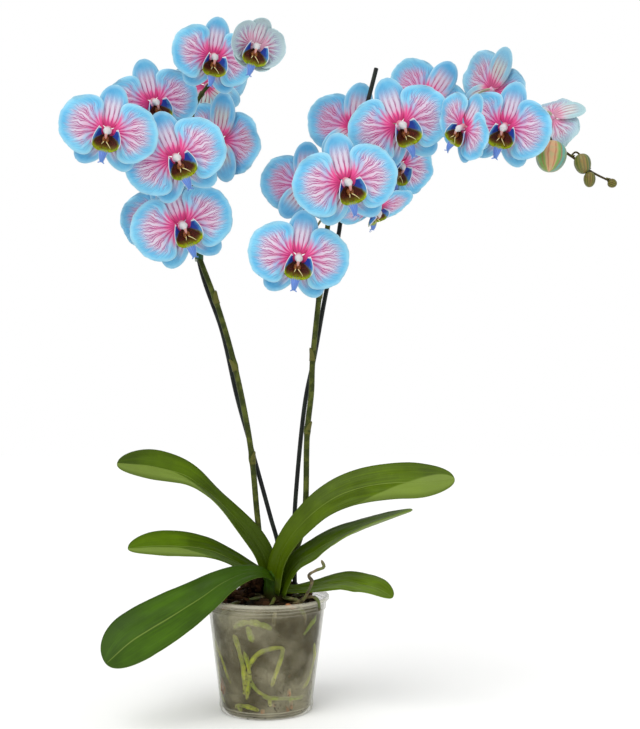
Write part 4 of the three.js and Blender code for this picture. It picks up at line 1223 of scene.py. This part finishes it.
potSettings = {
    "height": 107.5, "baseRadius": 43.4, "shoulderRadius": 55.6, "shoulderHeight": 94,
    "collarRadius": 57.2, "collarHeight": 101.5, "beads": 3, "beadDepth": 0.45,
    "lipRadius": 60.2, "lipHeight": 3.4,
    "wall": 1.1, "floor": 1.6, "footHeight": 6, "footStep": 0.8,
    "drainRadius": 4, "drainCircle": 27, "drainHoles": 5, "sides": 128,
    "haze": (0.14, 0.4),
    # painted highlight lines on the rings and rolled edges
    "ringHighlights": ((105.6, 2.6, 0.4), (102.2, 1.0, 0.34), (99.2, 0.7, 0.3), (96.3, 0.6, 0.26),
                  (6.4, 0.5, 0.4), (4.4, 0.4, 0.35), (2.0, 0.7, 0.4)),  # height, half width, strength
}
potColours = {
    "dim": screen(124, 116, 84),
    "milky": screen(184, 178, 146),
    # the colour of the painted ring highlights
    "ring": screen(206, 202, 184),
    "speck": screen(52, 38, 28),
    "grazing": screen(206, 206, 196),
}


# The wall's outer radius grows evenly with height, from the base to the shoulder
def potRadius(z):
    s = potSettings
    rise = s["shoulderRadius"] - s["baseRadius"]
    return s["baseRadius"] + rise * np.asarray(z, float) / s["shoulderHeight"]


# The pot's outline: up the outside over foot, wall, collar beads and lip, and down the inside
def potProfile():
    s = potSettings
    base, shoulder, collar, lip = s["baseRadius"], s["shoulderRadius"], s["collarRadius"], s["lipRadius"]
    top, wall, floor = s["height"], s["wall"], s["floor"]
    foot = potRadius(s["footHeight"]) + s["footStep"]
    wallZ = np.linspace(12, s["shoulderHeight"] - 1, 16)
    beadZ = np.linspace(s["shoulderHeight"] + 1.5, s["collarHeight"], 17)
    beadShare = np.pi * (beadZ - beadZ[0]) / (beadZ[-1] - beadZ[0]) * s["beads"]
    beads = collar - s["beadDepth"] + s["beadDepth"] * np.abs(np.sin(beadShare))
    outer = [
        (0, 1.2), (20, 1.2), (base - 6, 1.1), (base - 4, 0.0), (base - 1.2, 0.0), (base + 0.4, 0.8),
        (base + s["footStep"], 2.5), (foot - 0.35, 3.4), (foot, 4.2), (foot - 0.35, 5.1),
        (foot, s["footHeight"]), (potRadius(7) + 0.1, 7), (potRadius(9) + 0.35, 8.2), (potRadius(9.6), 9.6),
        *zip(potRadius(wallZ), wallZ), (shoulder + 0.5, s["shoulderHeight"] + 0.4), *zip(beads, beadZ),
        (collar + 1.2, s["collarHeight"] + 1.0), (lip - 0.6, top - s["lipHeight"] - 0.3),
        (lip, top - s["lipHeight"] + 0.5), (lip, top - 0.9), (lip - 0.3, top - 0.25), (lip - 0.9, top),
    ]
    inner = [
        (lip - 1.7, top), (lip - 2.1, top - 0.5), (collar - wall + 0.6, s["collarHeight"] + 1.6),
        (collar - wall - 0.2, s["collarHeight"]), (shoulder - wall, s["shoulderHeight"] - 1),
        (potRadius(50) - wall, 50), (potRadius(floor + 3) - wall, floor + 3),
        (potRadius(floor) - wall - 1.5, floor + 0.4), (30, floor + 0.4), (0, floor + 0.4),
    ]
    return outer + inner


# Thin clear plastic: see-through with a grey haze, painted highlights as paler lines on the rings and
# rolled edges, a milky look at grazing angles, and specks of bark dust
def potFinish():
    p, k = potSettings, potColours
    f = Finish("clearPotPlastic", roughness=0.22, Specular_IOR_Level=0.5)
    split = f.tree.nodes.new("ShaderNodeSeparateXYZ")
    f.put(f.place(), split.inputs[0])
    z = split.outputs[2]
    haze = f.noise(20, 4, 0.62)
    shade = f.mix(f.ramp(haze, 0.35, 0.7), k["dim"], k["milky"])
    specks = f.times(f.ramp(f.noise(360, 1, 0.4), 0.655, 0.685), f.ramp(z, 0.1, 0.0, 0.25, 1.0))
    # painted highlights: paler, less clear lines on the rings and rolled edges
    rings = 0.0
    for height, half, strength in p["ringHighlights"]:
        away = f.math("ABSOLUTE", f.minus(z, height * mm))
        rings = f.math("MAXIMUM", rings, f.ramp(away, half * mm, half * mm * 0.2, 0.0, strength))
    shade = f.mix(f.times(rings, 2.0), shade, k["ring"])
    shade = f.mix(specks, shade, k["speck"])
    alpha = f.ramp(haze, 0.3, 0.75, *p["haze"])
    alpha = f.math("MAXIMUM", alpha, f.ramp(z, 0.1015, 0.1045, 0.0, 0.4))
    alpha = f.math("MAXIMUM", alpha, f.plus(rings, 0.1))
    alpha = f.math("MAXIMUM", alpha, f.times(specks, 0.85))
    grazing = f.tree.nodes.new("ShaderNodeLayerWeight")
    grazing.inputs["Blend"].default_value = 0.5
    side = f.ramp(grazing.outputs["Facing"], 0.45, 0.95)
    shade = f.mix(f.times(side, 0.8), shade, k["grazing"])
    alpha = f.math("MAXIMUM", alpha, f.times(side, 0.62))
    f.put(alpha, f.shader.inputs["Alpha"])
    f.bump(f.noise(50, 3), 0.0006, 0.25)
    return f.colour(shade)


# Cuts the drain holes through the floor, then drops the cutters
def drillDrains(pot):
    s = potSettings
    bpy.context.view_layer.update()
    for k in range(s["drainHoles"]):
        angle = 2 * np.pi * (k + 0.5) / s["drainHoles"]
        x, y = s["drainCircle"] * np.cos(angle), s["drainCircle"] * np.sin(angle)
        hole = tubePart(np.array([[x, y, -4.0], [x, y, 6.0]]), s["drainRadius"], 28, domed=False)
        faces = [face for block in hole["faces"] for face in block.tolist()]
        cutterMesh = bpy.data.meshes.new("drainCutter")
        cutterMesh.from_pydata((hole["points"] * mm).tolist(), [], faces)
        cutter = bpy.data.objects.new("drainCutter", cutterMesh)
        scene.collection.objects.link(cutter)
        cut = pot.modifiers.new("drain", "BOOLEAN")
        cut.object, cut.operation, cut.solver = cutter, "DIFFERENCE", "EXACT"
        result = bpy.data.meshes.new_from_object(pot.evaluated_get(bpy.context.evaluated_depsgraph_get()))
        pot.modifiers.clear()
        pot.data = result
        bpy.data.objects.remove(cutter)
        bpy.data.meshes.remove(cutterMesh)
    pot.data.polygons.foreach_set("use_smooth", [True] * len(pot.data.polygons))
    pot.data.name = "nursery_pot"


potBody = turnedPart(potProfile(), potSettings["sides"])
pot = makePiece("nursery_pot", [potBody], [potFinish()], ["pot"])
drillDrains(pot)
print("pot made")


rootSettings = {"wallGap": 0.1, "sink": 5, "topRadius": 1.9, "dryRadius": 1.5}
rootColours = {
    "green": screen(124, 140, 0),
    "yellow": screen(172, 180, 30),
    "deep": screen(84, 124, 34),
    "dark": screen(44, 34, 18),
    "tan": screen(104, 92, 56),
    "moss": screen(84, 98, 34),
    "speck": screen(80, 62, 36),
}
# radius, then degrees from the front to the right, and height; both ends sink into the bark
wallRoots = [
    (3.2, [(-38, 82), (-28, 88), (-17, 91), (-6, 90), (4, 87), (13, 82)]),
    (3.2, [(-17, 91), (-16, 84), (-13, 76), (-7, 66)]),
    (2.9, [(-40, 86), (-31, 72), (-27, 59), (-24, 46), (-24, 31), (-30, 14)]),
    (2.2, [(-29, 74), (-20, 58), (-17, 40), (-21, 24), (-26, 8)]),
    (1.2, [(-78, 76), (-71, 65), (-58, 52), (-48, 36), (-44, 26)]),
    (2.2, [(-20, 44), (-16, 51), (-9, 60), (0, 65), (10, 67), (17, 67.4), (20.4, 66), (20, 61), (16, 49),
           (11, 37), (6, 22)]),
    (1.7, [(-17, 52), (-16, 38), (-9, 28), (1, 23), (9, 21)]),
    (2.0, [(-14, 24), (5, 21), (27, 19), (52, 17), (74, 18)]),
    (2.3, [(72, 97), (62, 89), (52, 82), (40, 71)]),
    (1.8, [(64, 74), (70, 62), (74, 50), (68, 38), (58, 28), (40, 22)]),
    (2.2, [(-48, 7), (-36, 11), (-24, 12), (-11, 10), (2, 7)]),
    (2.0, [(5, 26), (7, 17), (10, 8)]),
    (2.1, [(-38, 18), (-33, 9), (-30, 5)]),
    (1.5, [(33, 26), (34, 18), (36, 8)]),
    (2.4, [(100, 78), (122, 84), (146, 86), (172, 80), (196, 84)]),
    (2.2, [(124, 86), (108, 55), (118, 30), (96, 12), (78, 8)]),
    (2.4, [(-92, 84), (-84, 56), (-92, 30), (-74, 12), (-56, 8)]),
    (2.3, [(-150, 88), (-162, 50), (-140, 22), (-104, 14)]),
    (2.2, [(196, 70), (178, 44), (160, 30), (150, 8)]),
]
# degrees as above, and the height of the crest over the bark's edge
topRoots = [(-52, 3), (10, 2), (46, 5), (110, 4), (172, 3), (-108, 4)]
dryRoots = [
    [(26, -22, 103), (34, -30, 106), (41, -37, 118), (44, -38, 126), (41, -40, 132), (48, -42, 137),
     (55, -42, 140), (53, -44, 146)],
    [(30, -16, 103), (37, -28, 109), (46, -34, 111), (50, -35, 107), (51, -34, 99)],
]
soilSettings = {"edgeHeight": 99, "crownHeight": 105.5, "seed": 7}


# A point inside the wall, a root's radius and the gap away from it, and sunk further in by sunk
def wallPoint(degrees, z, radius, sunk=0.0):
    out = potRadius(z) - potSettings["wall"] - radius - rootSettings["wallGap"] - sunk
    return np.array([out * np.sin(np.radians(degrees)), -out * np.cos(np.radians(degrees)), z])


# A curve through wall points whose two ends sink
def wallRootPath(radius, places):
    sunk = [rootSettings["sink"]] + [0] * (len(places) - 2) + [rootSettings["sink"]]
    points = [wallPoint(*place, radius, depth) for place, depth in zip(places, sunk)]
    return curveThrough(points, 14 * len(places))


# From the crown over the bark to the rim, and down a little inside the wall
def topRootPath(degrees, crest):
    radius = rootSettings["topRadius"]
    rim, low = wallPoint(degrees, 92, radius), wallPoint(degrees, 84, radius, 4)
    centre = np.array([crownSettings["x"], crownSettings["y"], 0.0])
    out = unit(np.array([rim[0] - centre[0], rim[1] - centre[1], 0.0]))
    sideways = np.array([-out[1], out[0], 0.0]) * 5 * np.sin(degrees)
    start = centre + out * (crownSettings["radius"] + radius)
    start[2] = soilSettings["crownHeight"] + 1
    middle = start + (rim - start) * 0.5 + sideways
    brink = start + (rim - start) * 0.86 - sideways * 0.5
    middle[2], brink[2] = soilSettings["edgeHeight"] + crest + 1, soilSettings["edgeHeight"] + 2.5
    return curveThrough([start, middle, brink, rim, low], 40)


# A root: a round section whose radius wanders along it and halves at both ends. Its marks say how dry it
# is, and where between the greens its tone lies.
def rootPart(path, radius, seed, dry):
    t = np.linspace(0, 1, len(path))
    thick = radius * (1 + 0.2 * wander(t * 7, 0 * t, seed))
    thick = thick * np.clip(np.minimum(t, 1 - t) / 0.06 + 0.5, 0, 1)
    return tubePart(path, thick, 10, dry=dry, luck=seed % 7 / 7)


# Damp roots are yellow-green, dry ones tan with dark and mossy stretches, and all have brown specks
def rootFinish():
    k = rootColours
    f = Finish("rootSkin", roughness=0.5)
    dry, luck = f.mark("dry"), f.mark("luck")
    damp = f.mottle((70, 3), (0.35, 0.65), k["green"], k["yellow"])
    damp = f.mix(f.ramp(luck, 0.3, 0.9, 0, 0.6), damp, k["deep"])
    bare = f.mottle((150, 4, 0.6), (0.38, 0.62), k["dark"], k["tan"])
    bare = f.mottle((90, 2), (0.45, 0.65, 0, 0.8), bare, k["moss"])
    shade = f.mix(dry, damp, bare)
    shade = f.mottle((800, 2), (0.62, 0.72, 0, 0.6), shade, k["speck"])
    f.bump(f.noise(500, 3), 0.0004, 0.5)
    return f.colour(shade)


roots = []
for k, root in enumerate(wallRoots):
    roots.append(rootPart(wallRootPath(*root), root[0], 40 + k, 0.0))
for k, root in enumerate(topRoots):
    roots.append(rootPart(topRootPath(*root), rootSettings["topRadius"], 60 + k, 0.95))
for k, points in enumerate(dryRoots):
    roots.append(rootPart(curveThrough(points, 44), rootSettings["dryRadius"], 77 + k, 1.0))
makePiece("orchid_roots", roots, [rootFinish()], ["roots"])
print("roots made:", len(roots))


# the chips' half sizes, the range that scales them, and the most that they lean in degrees
barkSettings = {
    "bedChips": {"count": 110, "size": (5.6, 3.6, 1.9), "scale": (0.55, 1.15), "lean": 32},
    "wallChips": {"count": 60, "size": (3.0, 2.4, 1.6), "scale": (0.5, 1.1), "lean": 70},
    "heapChips": {"count": 120, "size": (6.2, 4.2, 2.6), "scale": (0.5, 1.0), "lean": 60},
    "sides": 96, "clearance": 2.6, "wallClear": 2.1,
    "rough": 0.009, "roughTop": 0.9, "chipGrid": (7, 10), "chipRough": 0.16, "chipPower": 0.45,
    "bedTop": [(34, 100.5), (24, 102), (16, 103), (8, 103.4), (0, 103.6)],
}
barkColours = {
    # near-black: the bark's own dark with painted shade in it
    "dark": (screen(8, 6, 2), screen(40, 30, 14)),
    "warm": (screen(104, 46, 20), screen(184, 118, 72)),
}
# degrees from the front, height and half length of the pale chips against the wall
paleChips = ((-66, 27, 6.5), (-62, 22, 4), (31, 24, 3.5), (35, 13, 4.5), (30, 9, 3), (-2, 8, 2))
# place, half sizes and tone of the chips that lie on top in front
frontChips = (((24, -42, 103.5), (6, 2.2, 1.7), 0.9), ((28, -36, 103), (5, 3, 2), 0.1),
              ((-36, -34, 102), (5, 2.4, 1.8), 0.45), ((4, -46, 101.5), (6, 3, 2), 0.05))


# The bed: a closed outline turned about the axis, its radius and height roughened by a wander of turn and
# height, and kept clear of the wall
def bedPart():
    b, edgeHeight = barkSettings, soilSettings["edgeHeight"]
    foot = potSettings["floor"] + 0.7
    z = np.linspace(foot, edgeHeight - 6, 34)
    wall = np.stack([potRadius(z) - b["clearance"] - 0.2, z], axis=-1)
    brim = [(potRadius(97) - b["clearance"] - 3, 96.5), (potRadius(99) - b["clearance"] - 6, 98.5)]
    profile = np.vstack([[(0, foot)], [(20, foot)], wall, brim, b["bedTop"]])
    part = turnedPart(profile, b["sides"], tone=0.0)
    points = part["points"][:-2].reshape(-1, b["sides"], 3)
    away, height = profile[1:-1, :1], profile[1:-1, 1:]
    turn = np.linspace(0, 2 * np.pi, b["sides"], endpoint=False)[None]
    rough = wander(3 * np.cos(turn) * 2, 3 * np.sin(turn) * 2 + height * 0.22, 5)
    rough = rough + 0.5 * wander(9 * np.cos(turn), 9 * np.sin(turn) + height * 0.5, 6)
    strength = np.clip(away / 20, 0, 1)
    points[..., :2] *= (1 + b["rough"] * rough * strength)[..., None]
    away = np.linalg.norm(points[..., :2], axis=-1)
    limit = potRadius(points[..., 2]) - b["wallClear"]
    points[..., :2] *= (np.minimum(away, limit) / np.maximum(away, 0.01))[..., None]
    points[..., 2] += b["roughTop"] * rough * (height > 95) * strength
    part["points"] = np.vstack([points.reshape(-1, 3), part["points"][-2:]])
    return part


# A chip: a superellipsoid, |x|^p + |y|^p + |z|^p = 1 with p = 2 / chipPower, roughened, stretched and
# turned at random
def chipPart(random, at, size, lean, tone):
    b = barkSettings
    rows, columns = b["chipGrid"]
    squash = lambda v: np.sign(v) * np.abs(v) ** b["chipPower"]
    polar = np.linspace(0.12, np.pi - 0.12, rows)[:, None]
    turn = np.linspace(0, 2 * np.pi, columns, endpoint=False)[None]
    x, y = squash(np.sin(polar)) * squash(np.cos(turn)), squash(np.sin(polar)) * squash(np.sin(turn))
    shape = np.stack([x, y, squash(np.cos(polar)) + 0 * turn], axis=-1)
    shape = shape * (1 + b["chipRough"] * random.uniform(-1, 1, (rows, columns)))[..., None]
    spin, tilt, roll = random.uniform(0, 360), random.uniform(-lean, lean), random.uniform(-lean, lean)
    rings = shape * size @ (turned(2, spin) @ turned(0, tilt) @ turned(1, roll)).T + at
    part = ringsPart(rings, [rings[0].mean(0), rings[-1].mean(0)], 0, {"tone": tone})
    part["faces"] = [faces[:, ::-1] for faces in part["faces"]]  # the rings run from the top down
    return part


# Near-black bark, dark partly with painted shade, to warm dry bark by the chip's tone, each between two
# colours
def barkFinish():
    k = barkColours
    f = Finish("barkSkin", roughness=0.85, Specular_IOR_Level=0.1)
    tone = f.mark("tone")
    grain = f.noise(90, 5, 0.65)
    dark = f.mix(f.ramp(grain, 0.35, 0.7), *k["dark"])
    warm = f.mix(f.ramp(grain, 0.35, 0.7), *k["warm"])
    shade = f.mix(tone, dark, warm)
    f.bump(f.noise(260, 4), 0.0012, 0.7)
    return f.colour(shade)


# A point by its turn from the right, its distance from the axis, and its height
def roundAxis(angle, distance, height):
    return np.array([distance * np.cos(angle), distance * np.sin(angle), height])


chipRandom = np.random.default_rng(soilSettings["seed"])


# The settings' half sizes times one random scale
def chipSize(chips):
    return np.array(chips["size"]) * chipRandom.uniform(*chips["scale"])


bark = [bedPart()]
# chips on the bed: even over its area, lower towards the wall, one in twenty of them warm
chips = barkSettings["bedChips"]
for _ in range(chips["count"]):
    angle, distance = chipRandom.uniform(0, 2 * np.pi), 14 + 31 * np.sqrt(chipRandom.uniform())
    at = roundAxis(angle, distance, 104.2 - 5.2 * smooth(distance, 14, 46))
    size = chipSize(chips)
    tone = 0.5 if chipRandom.uniform() > 0.95 else chipRandom.uniform(0, 0.1)
    bark.append(chipPart(chipRandom, at, size, chips["lean"], tone))
# chips that show through the wall
chips = barkSettings["wallChips"]
for _ in range(chips["count"]):
    angle, height = chipRandom.uniform(0, 2 * np.pi), chipRandom.uniform(7, 92)
    at = roundAxis(angle, potRadius(height) - barkSettings["clearance"] - 2.4, height)
    size = chipSize(chips)
    tone = 0.6 if chipRandom.uniform() > 0.85 else chipRandom.uniform(0, 0.3)
    bark.append(chipPart(chipRandom, at, size, chips["lean"], tone))
for degrees, height, tall in paleChips:
    size = np.array([1.8, 1.6, tall])
    bark.append(chipPart(chipRandom, wallPoint(degrees, height, 1.6), size, 8, 1.0))
for at, size, tone in frontChips:
    bark.append(chipPart(chipRandom, np.array(at), np.array(size), 18, tone))
# the heap behind the crown, highest next to it; its near-black tone is partly painted shade under the
# leaves
chips = barkSettings["heapChips"]
for _ in range(chips["count"]):
    angle, distance = chipRandom.uniform(0.1, 1.1) * np.pi, 11 + 29 * chipRandom.uniform()
    height = 103 + (22 - 17 * smooth(distance, 13, 40)) * np.sqrt(chipRandom.uniform())
    at = roundAxis(angle, distance, height) + [crownSettings["x"] * 0.5, 0, 0]
    size = chipSize(chips)
    bark.append(chipPart(chipRandom, at, size, chips["lean"], chipRandom.uniform(0, 0.12)))
makePiece("bark_mix", bark, [barkFinish()], ["substrate"])
print("bark made:", len(bark))


stageSettings = {
    "floorHalf": 6.0, "floor": (screen(253, 253, 252), screen(255, 255, 254)),
    "backdrop": 1.0, "world": 0.74,
    "key": 1.5, "keyAngle": 50, "keyPlace": (-0.9, -1.3, 2.1),
    "fill": 5, "fillSize": 1.6, "fillPlace": (1.6, -1.2, 1.0),
    "target": (0.05, 0, 0.35),
}


# A pale floor under the pot
def makeFloor(s):
    mesh = bpy.data.meshes.new("paleFloor")
    h = s["floorHalf"]
    mesh.from_pydata([(-h, -h, 0), (h, -h, 0), (h, h, 0), (-h, h, 0)], [], [(0, 1, 2, 3)])
    floor = bpy.data.objects.new("paleFloor", mesh)
    scene.collection.objects.link(floor)
    f = Finish("paleFloorPaint", roughness=0.9, Specular_IOR_Level=0.1)
    mesh.materials.append(f.colour(f.mottle((3, 2), (0.3, 0.7), *s["floor"])))


# A world that is white to the camera and softer as light, a broad key light and a fill from the right
def makeLight(s):
    world = bpy.data.worlds.new("softWorld")
    world.use_nodes = True
    nodes, links = world.node_tree.nodes, world.node_tree.links
    nodes["Background"].inputs["Color"].default_value = (1, 1, 1, 1)
    seen, strength = nodes.new("ShaderNodeLightPath"), nodes.new("ShaderNodeMapRange")
    links.new(seen.outputs["Is Camera Ray"], strength.inputs["Value"])
    strength.inputs["To Min"].default_value = s["world"]
    strength.inputs["To Max"].default_value = s["backdrop"]
    links.new(strength.outputs[0], nodes["Background"].inputs["Strength"])
    scene.world = world
    key = bpy.data.lights.new("keyLight", "SUN")
    key.energy, key.angle = s["key"], np.radians(s["keyAngle"])
    fill = bpy.data.lights.new("fillLight", "AREA")
    fill.energy, fill.size = s["fill"], s["fillSize"]
    for data, place in ((key, s["keyPlace"]), (fill, s["fillPlace"])):
        light = bpy.data.objects.new(data.name, data)
        scene.collection.objects.link(light)
        light.location = place
        light.rotation_euler = (Vector(s["target"]) - Vector(place)).to_track_quat("-Z", "Y").to_euler()


makeFloor(stageSettings)
makeLight(stageSettings)
scene.view_settings.view_transform = "Standard"
print("floor and light made")
